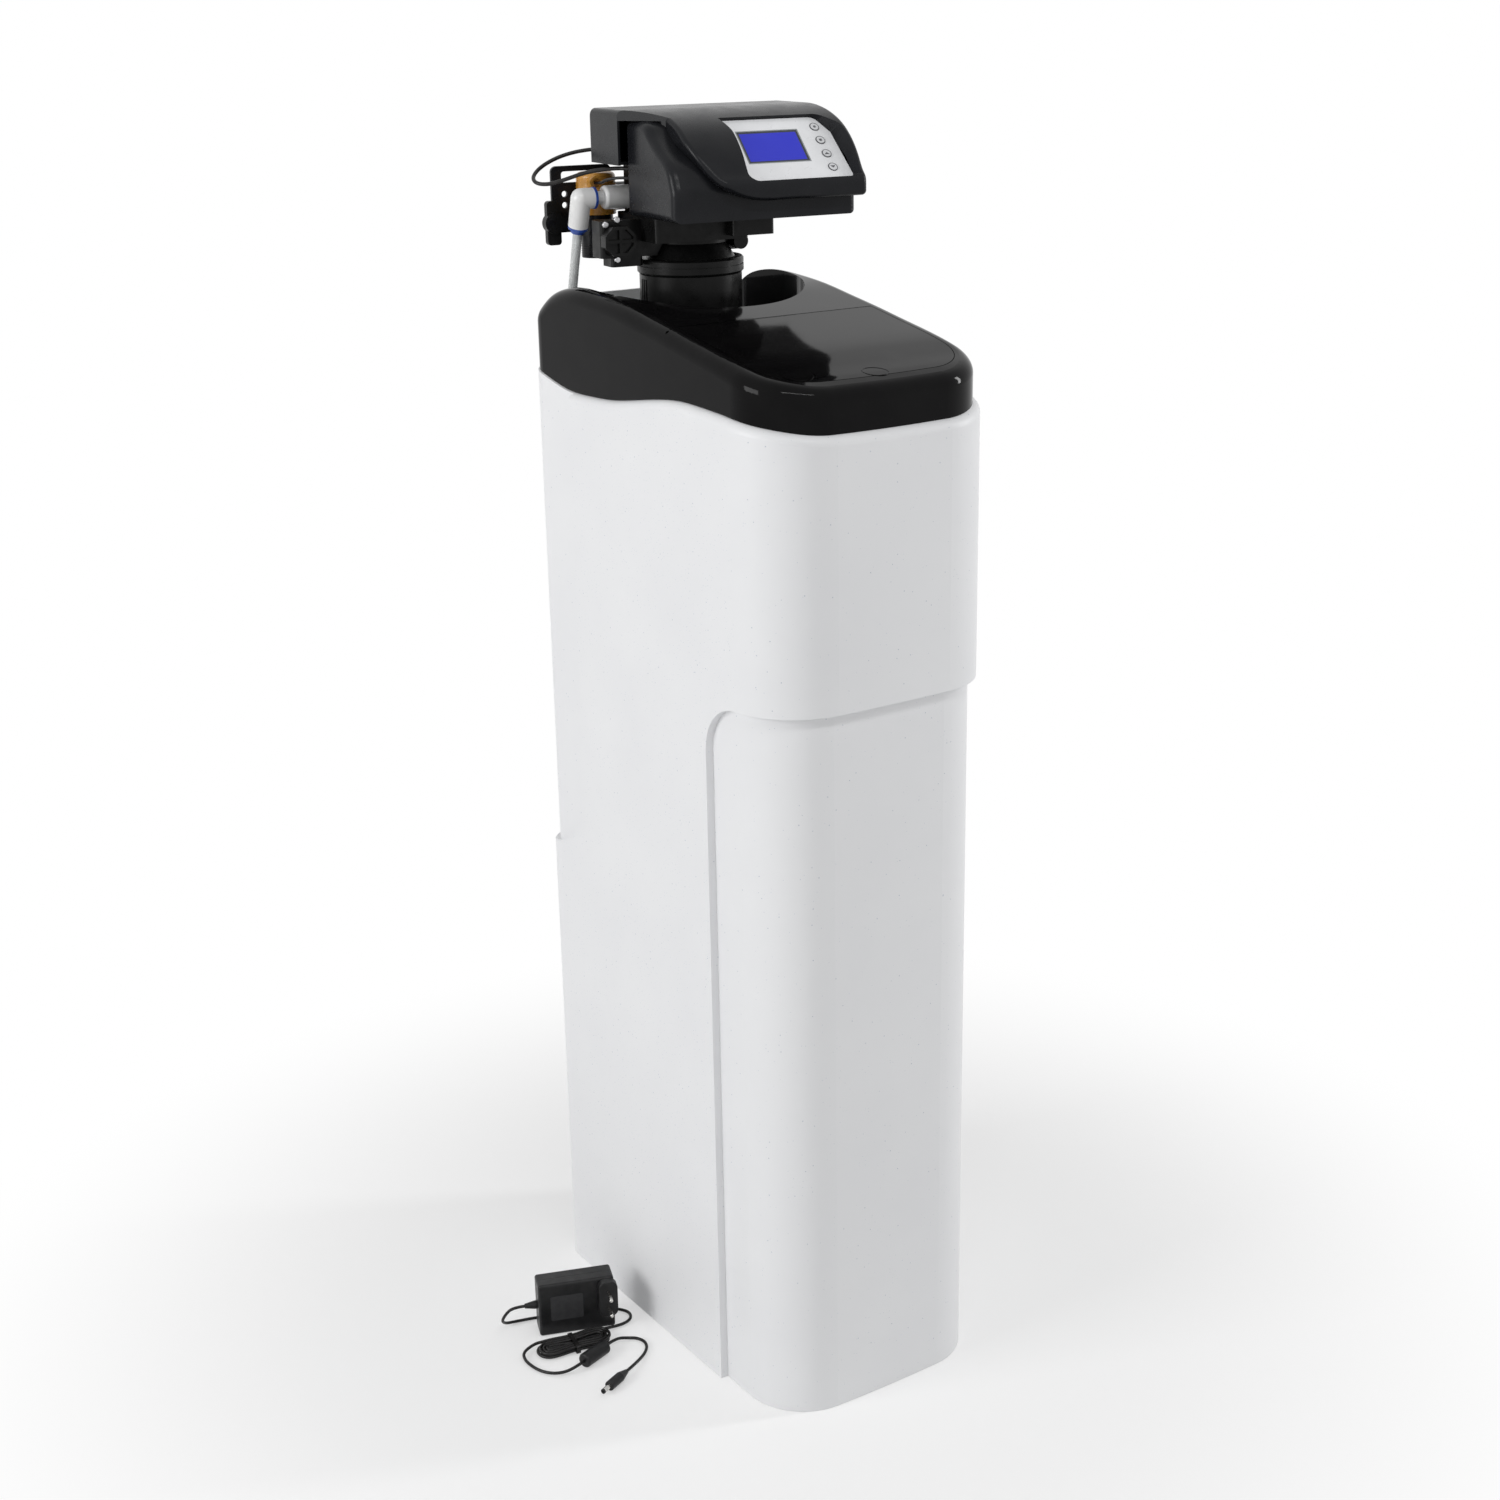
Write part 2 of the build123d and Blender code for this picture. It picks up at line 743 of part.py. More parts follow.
def make_salt_lid():
    """Lid that follows the cover's slope, with a hinge barrel, a stiffening rib and a finger mark."""
    plate = (lid_prism() & below_curve(cover_points)) - below_curve(cover_points, -lid_thickness)
    rib = lid_prism(lid_rib_inset, -hinge_boss_height) - lid_prism(lid_rib_inset + lid_rib_width,
                                                                   -hinge_boss_height)
    rib = (rib & below_curve(cover_points, -lid_thickness / 2)) - below_curve(cover_points, -lid_rib_depth)
    barrel = rod((-lid_half_width, hinge_y, hinge_z), (1, 0, 0), hinge_barrel_radius, 2 * lid_half_width)
    lid = plate + rib + barrel
    lid -= rod((-lid_half_width, hinge_y, hinge_z), (1, 0, 0), hinge_pin_radius + hinge_pin_fit,
               2 * lid_half_width)
    mark = Circle(finger_mark_radius) - Pos(0, finger_mark_shift) * Circle(finger_mark_radius)
    mark = extrude(Pos(finger_mark_x, finger_mark_y) * mark, amount=block_height)
    return lid - (mark - below_curve(cover_points, -finger_mark_depth))


def make_hinge_pins():
    """Two pins, fixed in the cover and running in the lid's barrel."""
    start = lid_half_width - hinge_pin_in_lid
    length = hinge_pin_in_lid + lid_gap + hinge_pin_in_cover
    return [rod((side * start, hinge_y, hinge_z), (side, 0, 0), hinge_pin_radius, length) for side in (-1, 1)]


def turned(points, y=0.0, x=0.0):
    """A solid of revolution about a vertical axis from (radius, height) points."""
    with BuildSketch(Plane.XZ) as profile:
        with BuildLine():
            Polyline(*points, points[0])
        make_face()
    return Pos(x, y, 0) * revolve(profile.sketch, axis=Axis.Z)


def tank_form(inset, bottom, top):
    """The tank's outer form drawn in by inset: cylinder with a domed top and bottom."""
    radius = tank_radius - inset
    dome = tank_dome_height - inset
    low = bottom + tank_dome_height
    high = top - tank_dome_height
    with BuildSketch(Plane.XZ) as profile:
        with BuildLine():
            Line((0, low - dome), (0, high + dome))
            EllipticalCenterArc((0, high), radius, dome, start_angle=0, arc_size=90)
            Line((radius, high), (radius, low))
            EllipticalCenterArc((0, low), radius, dome, start_angle=-90, arc_size=90)
        make_face()
    return Pos(0, tank_y, 0) * revolve(profile.sketch, axis=Axis.Z)


tank_bottom = cabinet_floor + boot_floor
tank_shoulder = neck_bottom + tank_dome_height / 2
neck_low = collar_bottom - neck_ring_height


def make_tank():
    """Fibre-wound pressure tank with its moulded neck."""
    shell = tank_form(0, tank_bottom, tank_shoulder) - tank_form(tank_wall, tank_bottom, tank_shoulder)
    neck = upright(0, tank_y, neck_bottom, collar_bottom, neck_radius)
    shell = shell + (neck - tank_form(tank_wall, tank_bottom, tank_shoulder))
    return shell - upright(0, tank_y, neck_bottom, collar_bottom, neck_bore_radius)


def make_boot():
    """Cup that the tank stands in, on the cabinet's floor."""
    outer = tank_radius + tank_foot_gap + boot_wall
    cup = upright(0, tank_y, cabinet_floor, cabinet_floor + boot_height, outer)
    cup = chamfer(cup.faces().sort_by(Axis.Z)[-1].edges(), boot_wall / 2)
    pocket = tank_form(-tank_foot_gap, tank_bottom, tank_shoulder)
    return cup - pocket


def make_neck_ring():
    """Smooth ring about the tank's neck, with upright flutes in groups at its sides."""
    ring = upright(0, tank_y, neck_low, collar_bottom, neck_ring_radius)
    ring = chamfer(ring.faces().sort_by(Axis.Z)[-1].edges(), neck_ring_edge)
    flute = upright(neck_ring_radius, 0, neck_low + neck_flute_stop, collar_bottom - neck_flute_stop,
                    neck_flute_radius)
    for group in range(neck_flute_groups):
        middle = neck_flute_first_angle + group * 360 / neck_flute_groups
        for index in range(neck_flute_count):
            angle = middle + (index - (neck_flute_count - 1) / 2) * neck_flute_pitch_angle
            ring -= Pos(0, tank_y, 0) * Rot(0, 0, angle) * flute
    return ring - upright(0, tank_y, neck_low, collar_bottom, neck_radius + neck_fit)


def slotted_cup(radius, wall, bottom, height, slot, count, x=0.0, y=0.0):
    """A round basket with upright slots."""
    cup = upright(x, y, bottom, bottom + height, radius) - upright(x, y, bottom + wall, bottom + height,
                                                                   radius - wall)
    for index in range(count // 2):
        cut = box_between((-radius, -slot / 2, bottom + 2 * wall),
                          (radius, slot / 2, bottom + height - 2 * wall))
        cup -= Pos(x, y, 0) * Rot(0, 0, index * 360 / count) * cut
    return cup


def make_riser():
    """Riser tube from the bottom strainer up into the valve."""
    bottom = tank_bottom + tank_wall + strainer_lift + strainer_wall
    tube = upright(0, tank_y, bottom, riser_top, riser_radius)
    return tube - upright(0, tank_y, bottom, riser_top, riser_radius - riser_wall)


def make_bottom_strainer():
    """Slotted basket at the riser's foot, closed by a collar that the riser stands in."""
    bottom = tank_bottom + tank_wall + strainer_lift
    basket = slotted_cup(
        strainer_radius, strainer_wall, bottom, strainer_height, strainer_slot, strainer_slot_count, 0, tank_y
    )
    collar = upright(0, tank_y, bottom + strainer_height, bottom + strainer_height + strainer_wall,
                     strainer_radius)
    collar -= upright(0, tank_y, bottom, bottom + 2 * strainer_height, riser_radius + neck_fit)
    return basket + collar


def make_upper_basket():
    """Slotted basket below the valve, about the riser."""
    bottom = spigot_bottom - upper_basket_height
    basket = slotted_cup(
        upper_basket_radius, strainer_wall, bottom, upper_basket_height, strainer_slot, strainer_slot_count,
        0, tank_y
    )
    return basket - upright(0, tank_y, bottom, spigot_bottom, riser_radius + neck_fit)


def make_resin_bed():
    """Bed of exchange resin that fills the lower tank about the riser."""
    bed = tank_form(tank_wall + resin_gap, tank_bottom, tank_shoulder)
    bed -= box_between((-cabinet_width, 0, resin_top), (cabinet_width, cabinet_depth, block_height))
    bottom = tank_bottom + tank_wall
    strainer_top = bottom + strainer_lift + strainer_height + 2 * strainer_wall
    bed -= upright(0, tank_y, 0, strainer_top, strainer_radius + resin_gap)
    return bed - upright(0, tank_y, bottom, block_height, riser_radius + resin_gap)


def make_brine_well():
    """Upright tube beside the tank, slotted at its foot."""
    well = upright(well_x, well_y, cabinet_floor, well_top, well_radius)
    well -= upright(well_x, well_y, cabinet_floor, well_top, well_radius - well_wall)
    for index in range(well_slot_count // 2):
        cut = box_between(
            (-well_radius, -well_slot_width / 2, cabinet_floor + 2 * well_wall),
            (well_radius, well_slot_width / 2, cabinet_floor + well_slot_height),
        )
        well -= Pos(well_x, well_y, 0) * Rot(0, 0, index * 360 / well_slot_count) * cut
    return well - rod((well_x, well_y, float_valve_z), (0, 1, 0), float_valve_radius + brine_hole_gap,
                      2 * well_radius)


def make_well_cap():
    """Push-on cap of the brine well."""
    cap = upright(well_x, well_y, well_top - well_cap_skirt, well_top + well_cap_thickness, well_cap_radius)
    cap = chamfer(cap.faces().sort_by(Axis.Z)[-1].edges(), well_cap_thickness / 2)
    return cap - upright(well_x, well_y, well_top - well_cap_skirt, well_top, well_radius + neck_fit)


def make_float_valve():
    """Safety valve fixed in the well: inlet to the rear, bore for the float rod, outlet to the air check."""
    centre = (well_x, well_y, float_valve_z)
    inlet = rod(centre, (0, 1, 0), float_valve_radius, float_valve_reach)
    half = float_valve_height / 2
    arm = box_between(
        (well_x + air_tube_x - float_valve_radius, well_y - float_valve_radius, float_valve_z - half),
        (well_x + float_x + float_valve_radius, well_y + float_valve_radius, float_valve_z + half),
    )
    arm = fillet(arm.edges().filter_by(Axis.Z), float_valve_radius / 2)
    body = arm + inlet
    bore = float_rod_radius + float_fit
    body -= upright(well_x + float_x, well_y, 0, float_valve_z + half + overrun, bore)
    body -= rod((well_x, well_y + float_valve_radius, float_valve_z), (0, 1, 0), tube_bore_radius,
                float_valve_reach)
    return body


def make_air_check():
    """Pick-up pipe down to the foot of the well, with a slotted cage for the check ball."""
    x = well_x + air_tube_x
    bottom = cabinet_floor + air_cage_clear
    cage = slotted_cup(air_cage_radius, well_wall, bottom, air_cage_height, well_slot_width,
                       well_slot_count, x, well_y)
    cage += upright(x, well_y, bottom + air_cage_height - well_wall, bottom + air_cage_height,
                    air_cage_radius)
    pipe = upright(x, well_y, bottom + air_cage_height, float_valve_z - float_valve_height / 2,
                   air_tube_radius)
    return cage + pipe


def make_air_ball():
    """Loose ball that closes the pipe when the well is empty."""
    z = cabinet_floor + air_cage_clear + well_wall + air_ball_gap + air_ball_radius
    return Pos(well_x + air_tube_x, well_y, z) * Sphere(air_ball_radius)


def make_float():
    """Float with a bore for its rod."""
    body = upright(well_x + float_x, well_y, float_z, float_z + float_height, float_radius)
    body = fillet(body.edges().filter_by(GeomType.CIRCLE), float_radius / 4)
    return body - upright(well_x + float_x, well_y, float_z, float_z + float_height, float_rod_radius)


def make_float_rod():
    """Rod through the float, with a grommet above and below it and a stop above the valve."""
    x = well_x + float_x
    top = float_valve_z + float_valve_height / 2 + grommet_height + float_travel / 5
    bar = upright(x, well_y, float_rod_bottom, top, float_rod_radius)
    bar += upright(x, well_y, float_z - grommet_height, float_z, grommet_radius)
    bar += upright(x, well_y, float_z + float_height, float_z + float_height + grommet_height, grommet_radius)
    stop = float_valve_z + float_valve_height / 2 + float_fit
    bar += upright(x, well_y, stop, stop + grommet_height, grommet_radius)
    low_stop = float_valve_z - float_valve_height / 2 - float_travel
    return bar + upright(x, well_y, low_stop - grommet_height, low_stop, grommet_radius)


def make_overflow_elbow():
    """Overflow elbow through the rear wall, its hose barb pointing down outside, well clear of the wall."""
    wall_face = half_depth - rear_recess_depth
    inside_y = wall_face - overflow_inside
    turn_y = wall_face + overflow_reach
    leg_z = overflow_z - overflow_leg
    barb_z = leg_z - overflow_barb_length
    pipe_radius = overflow_pipe_radius - neck_fit
    pipe = rod((overflow_x, inside_y, overflow_z), (0, 1, 0), pipe_radius, turn_y - inside_y)
    flange = rod((overflow_x, half_depth, overflow_z), (0, 1, 0), overflow_flange_radius,
                 overflow_flange_thickness)
    ball = Pos(overflow_x, turn_y, overflow_z) * Sphere(pipe_radius)
    leg = upright(overflow_x, turn_y, leg_z, overflow_z, pipe_radius)
    barb = upright(overflow_x, turn_y, barb_z, leg_z, overflow_barb_radius)
    bore = upright(overflow_x, turn_y, barb_z, overflow_z, overflow_bore_radius)
    inner = rod((overflow_x, inside_y, overflow_z), (0, 1, 0), overflow_bore_radius, turn_y - inside_y)
    return pipe + flange + ball + leg + barb - bore - inner


def make_collar():
    """Round collar that joins the valve to the tank's neck."""
    ring = upright(0, 0, collar_bottom, collar_top, collar_radius)
    ring = chamfer(ring.edges().filter_by(GeomType.CIRCLE), collar_groove)
    groove_z = (collar_bottom + collar_top) / 2
    groove = upright(0, 0, groove_z, groove_z + collar_groove, collar_radius + collar_groove)
    groove -= upright(0, 0, groove_z, groove_z + collar_groove, collar_radius - collar_groove)
    return head_place * (ring - groove - upright(0, 0, collar_bottom, collar_top, neck_bore_radius))


def rounded_block(low, high, radius=valve_edge_radius):
    """A box with rounded upright edges."""
    return fillet(box_between(low, high).edges().filter_by(Axis.Z), radius)


def make_valve_body():
    """Moulded valve: spigot and cone on the neck, deck below the head, block behind it, ports and bosses."""
    spigot = upright(0, 0, spigot_bottom, collar_top, neck_bore_radius - neck_fit)
    cone = turned([(0, collar_top), (cone_low_radius, collar_top), (cone_high_radius, cone_top),
                   (0, cone_top)])
    ring = upright(0, 0, cone_top, cone_top + valve_ring_height, valve_ring_radius)
    column = upright(0, 0, cone_top, base_bottom, cone_high_radius)
    deck = rounded_block(
        (valve_deck_left, valve_deck_front, valve_deck_bottom), (valve_deck_right, valve_back, base_bottom)
    )
    block = rounded_block(
        (valve_block_left, valve_block_front, valve_deck_bottom), (valve_block_right, valve_back, tray_bottom)
    )
    drive_box = rounded_block(
        (drive_box_left, drive_box_front, drive_box_bottom), (drive_box_right, drive_box_back, base_bottom)
    )
    arm = rounded_block(
        (injector_arm_left, injector_arm_front, injector_arm_bottom),
        (valve_deck_left + overrun, injector_arm_back, injector_arm_top),
    )
    lug = rounded_block(
        (injector_lug_left, injector_arm_front, injector_lug_bottom),
        (injector_lug_right, injector_arm_back, injector_arm_bottom + valve_edge_radius),
    )
    drain = rod((drain_x, drain_boss_front, drain_z), (0, 1, 0), drain_boss_radius,
                valve_back - drain_boss_front)
    manifold_start = outlet_x + meter_radius - port_flat
    manifold = rod((manifold_start, manifold_y, manifold_z), (1, 0, 0), manifold_radius,
                   inlet_x - port_radius + port_flat - manifold_start)
    body = spigot + cone + ring + column + deck + block + drive_box + arm + lug + drain + manifold
    for side in (-1, 1):
        body += rod((side * port_neck_offset, valve_back - valve_edge_radius, manifold_z), (0, 1, 0),
                    port_neck_radius, manifold_y - valve_back)
    body -= upright(0, 0, spigot_bottom, riser_top + neck_fit, riser_radius + neck_fit)
    chamber_top = stem_bottom + 2 * disc_thickness + disc_chamber_gap
    body -= upright(stem_x, stem_y, stem_bottom - disc_chamber_gap, chamber_top,
                    disc_radius + disc_chamber_gap)
    body -= upright(stem_x, stem_y, chamber_top, tray_bottom, stem_radius + stem_fit)
    body -= rod((valve_block_left, fitting_y, fitting_z), (1, 0, 0), fitting_thread_radius, 2 * tube_radius)
    for dx, dz in screw_offsets:
        body -= rod((cap_x + dx, injector_arm_front, cap_z + dz), (0, 1, 0),
                    screw_shank_radius + screw_fit, screw_shank_length)
    return head_place * body


def make_inlet_port():
    """Inlet port: upright pipe with its threaded end down, beside the manifold's right end."""
    pipe = upright(inlet_x, manifold_y, port_bottom, inlet_top, port_radius)
    pipe = fillet(pipe.faces().sort_by(Axis.Z)[-1].edges(), meter_dome)
    collar_z = port_bottom + port_thread_length
    pipe += upright(inlet_x, manifold_y, collar_z, collar_z + port_collar_height, port_collar_radius)
    pipe -= upright(inlet_x, manifold_y, port_bottom, manifold_z, port_bore)
    manifold = rod((inlet_x - 2 * port_radius, manifold_y, manifold_z), (1, 0, 0), manifold_radius,
                   port_radius + port_flat)
    return head_place * (pipe - manifold)


def make_outlet_port():
    """Outlet port: short pipe under the flow meter, with its threaded end down."""
    pipe = upright(outlet_x, manifold_y, port_bottom, meter_bottom, port_radius)
    collar_z = port_bottom + port_thread_length
    pipe += upright(outlet_x, manifold_y, collar_z, collar_z + port_collar_height, port_collar_radius)
    return head_place * (pipe - upright(outlet_x, manifold_y, port_bottom, meter_bottom, port_bore))


def make_flow_meter():
    """Amber housing of the flow turbine, with a socket for its sensor."""
    body = upright(outlet_x, manifold_y, meter_bottom, meter_top, meter_radius)
    body = fillet(body.faces().sort_by(Axis.Z)[-1].edges(), meter_dome)
    front = manifold_y - meter_radius - meter_boss_reach
    body += rod((meter_boss_x, front, meter_boss_z), (0, 1, 0), meter_boss_radius, meter_radius / 2)
    body -= upright(outlet_x, manifold_y, meter_bottom, meter_top - meter_wall, meter_radius - meter_wall)
    body += rod((meter_boss_x, front, meter_boss_z), (0, 1, 0), meter_boss_radius,
                meter_boss_reach + meter_wall)
    body -= rod((meter_boss_x, front, meter_boss_z), (0, 1, 0), sensor_hole_radius,
                meter_boss_reach + meter_wall / 2)
    body += upright(outlet_x, manifold_y, turbine_z + turbine_height / 2, meter_top - meter_wall,
                    turbine_pin_radius)
    body -= rod((outlet_x + meter_radius - port_flat, manifold_y, manifold_z), (1, 0, 0), manifold_radius,
                meter_radius)
    return head_place * body


def make_turbine():
    """Flow turbine: hub with pitched blades, running on the meter's pin."""
    hub = upright(outlet_x, manifold_y, turbine_z, turbine_z + turbine_height, turbine_hub_radius)
    pitch = 30.0
    blade = box_between(
        (turbine_hub_radius / 2, -turbine_blade_thickness / 2, -turbine_height / 2),
        (turbine_radius, turbine_blade_thickness / 2, turbine_height / 2),
    )
    middle = Pos(outlet_x, manifold_y, turbine_z + turbine_height / 2)
    for index in range(turbine_blade_count):
        hub += middle * Rot(0, 0, index * 360 / turbine_blade_count) * Rot(pitch, 0, 0) * blade
    bore = upright(
        outlet_x, manifold_y, turbine_z, turbine_z + 2 * turbine_height, turbine_pin_radius + turbine_fit
    )
    return head_place * (hub - bore)


def make_bracket():
    """Slotted bracket behind the meter, fixed to the manifold by its foot."""
    back = bracket_front + bracket_thickness
    plate = box_between((bracket_left, bracket_front, bracket_bottom), (bracket_right, back, bracket_top))
    plate = fillet(plate.edges().filter_by(Axis.Y), bracket_corner_radius)
    inner_left = bracket_left + bracket_bar
    window = box_between(
        (inner_left, bracket_front, bracket_top - bracket_bar / 2 - bracket_slot_height),
        (bracket_right - bracket_bar, back, bracket_top - bracket_bar / 2),
    )
    plate -= fillet(window.edges().filter_by(Axis.Y), bracket_hole_radius)
    below = box_between(
        (inner_left + bracket_bar, bracket_front, bracket_bottom),
        (bracket_right - bracket_bar - bracket_foot_width, back, manifold_z - bracket_slot_height / 2),
    )
    plate -= below
    for index in range(2):
        hole_z = manifold_z + bracket_slot_height / 4 - index * bracket_slot_height
        plate -= rod((inner_left + bracket_hole_radius, bracket_front, hole_z), (0, 1, 0),
                     bracket_hole_radius, bracket_thickness)
    foot_right = bracket_right
    foot = box_between(
        (foot_right - bracket_foot_width, manifold_y, manifold_z - manifold_radius / 2),
        (foot_right, bracket_front, manifold_z + manifold_radius / 2),
    )
    foot -= rod((outlet_x, manifold_y, manifold_z), (1, 0, 0), manifold_radius, inlet_x - outlet_x)
    foot -= upright(outlet_x, manifold_y, meter_bottom, meter_top, meter_radius + lever_gap)
    pin = rod((lever_x, bracket_front - lever_gap - lever_thickness, lever_z), (0, 1, 0),
              lever_pin_radius, lever_thickness + lever_gap + bracket_thickness)
    return head_place * (plate + foot + pin)


def make_lever():
    """Hand lever of the bypass, on the bracket's pin."""
    front = bracket_front - lever_gap - lever_thickness
    bar = box_between(
        (lever_x - lever_width / 2, front, lever_z - lever_length / 2),
        (lever_x + lever_width / 2, front + lever_thickness, lever_z + lever_length / 2),
    )
    bar = fillet(bar.edges().filter_by(Axis.Y), lever_width / 4)
    hub = rod((lever_x, front - lever_hub_proud, lever_z), (0, 1, 0), lever_hub_radius,
              lever_thickness + lever_hub_proud)
    hub -= rod((lever_x, front, lever_z), (0, 1, 0), lever_pin_radius + lever_pin_fit, lever_thickness)
    bar -= rod((lever_x, front, lever_z), (0, 1, 0), lever_pin_radius + lever_pin_fit, lever_thickness)
    return head_place * (bar + hub)


def make_drain_fitting():
    """Barbed drain fitting behind the valve's drain boss."""
    nut = rod((drain_x, valve_back, drain_z), (0, 1, 0), drain_nut_radius, drain_nut_length)
    barb = rod((drain_x, valve_back + drain_nut_length, drain_z), (0, 1, 0), drain_barb_radius,
               drain_barb_length)
    bore = rod((drain_x, valve_back, drain_z), (0, 1, 0), drain_barb_bore,
               drain_nut_length + drain_barb_length)
    return head_place * (nut + barb - bore)


def make_brine_fitting():
    """White fitting screwed into the valve's side, with a stem for the elbow."""
    nut = rod((fitting_left, fitting_y, fitting_z), (1, 0, 0), fitting_radius, fitting_right - fitting_left)
    nut = fillet(nut.faces().sort_by(Axis.X)[0].edges(), fitting_radius / 3)
    stem_start = elbow_x + elbow_arm
    stem = rod((stem_start, fitting_y, fitting_z), (1, 0, 0), fitting_stem_radius, fitting_right - stem_start)
    thread = rod((fitting_right, fitting_y, fitting_z), (1, 0, 0), fitting_thread_radius - screw_fit,
                 valve_block_left - fitting_right + tube_radius)
    return head_place * (nut + stem + thread)


def elbow_down():
    """Direction of the elbow's lower arm in the head's frame."""
    lean = math.radians(elbow_lean)
    return Vector(0, math.sin(lean), -math.cos(lean))


def elbow_point(distance):
    """A point on the elbow's lower arm."""
    return Vector(elbow_x, fitting_y, fitting_z) + elbow_down() * distance


def make_brine_elbow():
    """White push-in elbow with one arm to the fitting and one leaning down to the brine tube."""
    centre = (elbow_x, fitting_y, fitting_z)
    body = Pos(*centre) * Sphere(elbow_radius)
    body += rod(centre, (1, 0, 0), elbow_radius, elbow_arm - collet_thickness)
    body += rod(centre, elbow_down(), elbow_radius, elbow_drop)
    return head_place * (body - rod(elbow_point(elbow_drop / 2), elbow_down(), tube_radius, elbow_drop))


def make_collets():
    """Blue collet rings at both arms of the elbow."""
    side = rod((elbow_x + elbow_arm - collet_thickness, fitting_y, fitting_z), (1, 0, 0), collet_radius,
               collet_thickness)
    low = rod(elbow_point(elbow_drop), elbow_down(), elbow_radius, collet_thickness)
    low += rod(elbow_point(elbow_drop + collet_thickness), elbow_down(), collet_end_radius, collet_end_length)
    low -= rod(elbow_point(elbow_drop), elbow_down(), tube_radius, elbow_drop)
    return [head_place * side, head_place * low]


def make_injector_cap():
    """Ribbed cap over the injector: rounded outline, deep rim and crossed ribs."""
    outline = Rectangle(cap_width, cap_height)
    outline = chamfer(outline.vertices(), cap_corner)
    inner = offset(outline, -cap_rim)
    cross = Rectangle(cap_rib, cap_height) + Rectangle(cap_width, cap_rib)
    face = Plane(origin=(cap_x, injector_arm_front, cap_z), x_dir=(1, 0, 0), z_dir=(0, -1, 0))
    cap = extrude(face * outline, amount=cap_thickness)
    outer_face = face.offset(cap_thickness - cap_pocket_depth)
    cap -= extrude(outer_face * (inner - cross), amount=cap_pocket_depth)
    return head_place * cap


def make_cap_screws():
    """Three screws about the injector cap."""
    screws = []
    for dx, dz in screw_offsets:
        start = (cap_x + dx, injector_arm_front, cap_z + dz)
        head = fillet(rod(start, (0, -1, 0), screw_head_radius,
                          screw_head_height).faces().sort_by(Axis.Y)[0].edges(),
                      screw_head_height / 3)
        shank = rod(start, (0, 1, 0), screw_shank_radius, screw_shank_length)
        screws.append(head_place * (head + shank))
    return screws


def base_profile(inset):
    """Side outline of the lower housing, drawn in by inset: upright foot, then a front that rises in an S."""
    front = base_front + inset
    back = base_back - inset
    top = base_top - inset
    depth = base_crown_y - base_front
    rise = base_top - base_knee_z
    face = [(front + u * (depth - inset), base_knee_z + v * (rise - inset)) for u, v in base_profile_shares]
    with BuildSketch(Plane.YZ) as side:
        with BuildLine():
            Polyline(
                (front, base_knee_z), (front, base_bottom + inset), (back, base_bottom + inset),
                (back, top), (base_crown_y, top),
            )
            Spline([(front, base_knee_z)] + face + [(base_crown_y, top)], tangents=((0, 1), (1, 0)))
        make_face()
        fillet(corner_near(side, back, top), base_back_radius - inset)
    return side.sketch


def base_form(inset):
    """The lower housing's filled form, drawn in by inset."""
    length = base_right - base_left - 2 * inset
    form = Pos(base_left + inset, 0, 0) * extrude(base_profile(inset), amount=length)
    ends = form.faces().sort_by(Axis.X)
    return fillet(ends[0].edges() + ends[-1].edges(), base_edge_radius - inset)


def swoop_region(inset, depth_front, depth_back):
    """What lies right of and above the swoop on the hood's face, from one depth to another."""
    width = hood_right - hood_left
    height = hood_top - hood_lip_bottom
    curve = [(hood_left + u * width + inset, hood_lip_bottom + v * height + inset) for u, v in swoop_shares]
    face = Plane(origin=(0, depth_front, 0), x_dir=(1, 0, 0), z_dir=(0, -1, 0))
    with BuildSketch(face) as front:
        with BuildLine():
            Spline(curve)
            Polyline(
                curve[-1], (hood_right + overrun, curve[-1][1]), (hood_right + overrun, hood_top + overrun),
                (curve[0][0], hood_top + overrun), curve[0],
            )
        make_face()
    return extrude(front.sketch, amount=depth_front - depth_back)


def hood_profile(inset):
    """Side outline of the hood, drawn in by inset: flat top, rounded face down to the lip."""
    top = hood_top - inset
    front = hood_front + inset
    span = hood_front - hood_step_y
    drop = hood_top - hood_lip_top
    face = [(hood_step_y + u * span + inset * u, hood_lip_top + v * drop - inset) for u,
            v in hood_profile_shares]
    with BuildSketch(Plane.YZ) as side:
        with BuildLine():
            Polyline((front, hood_lip_top - inset), (front, hood_lip_bottom),
                     (hood_back - inset, hood_lip_bottom),
                     (hood_back - inset, top), (hood_step_y, top))
            Spline([(hood_step_y, top)] + face + [(front, hood_lip_top - inset)],
                   tangents=((-1, 0), (0, -1)))
        make_face()
        fillet(corner_near(side, hood_back - inset, top), hood_back_radius - inset / 2)
    return side.sketch


def hood_plan(inset):
    """Plan outline that cuts the hood's left side back from its step to the swoop."""
    left = hood_left + inset
    beyond = hood_left - overrun
    with BuildSketch() as plan:
        with BuildLine():
            Polyline(
                (beyond, hood_back + overrun), (beyond, hood_step_y), (left, hood_step_y),
                (hood_step_x + inset, hood_step_front), (hood_step_x + inset, hood_front - overrun),
                (hood_right + overrun, hood_front - overrun), (hood_right + overrun, hood_back + overrun),
                (beyond, hood_back + overrun),
            )
        make_face()
    return plan.sketch


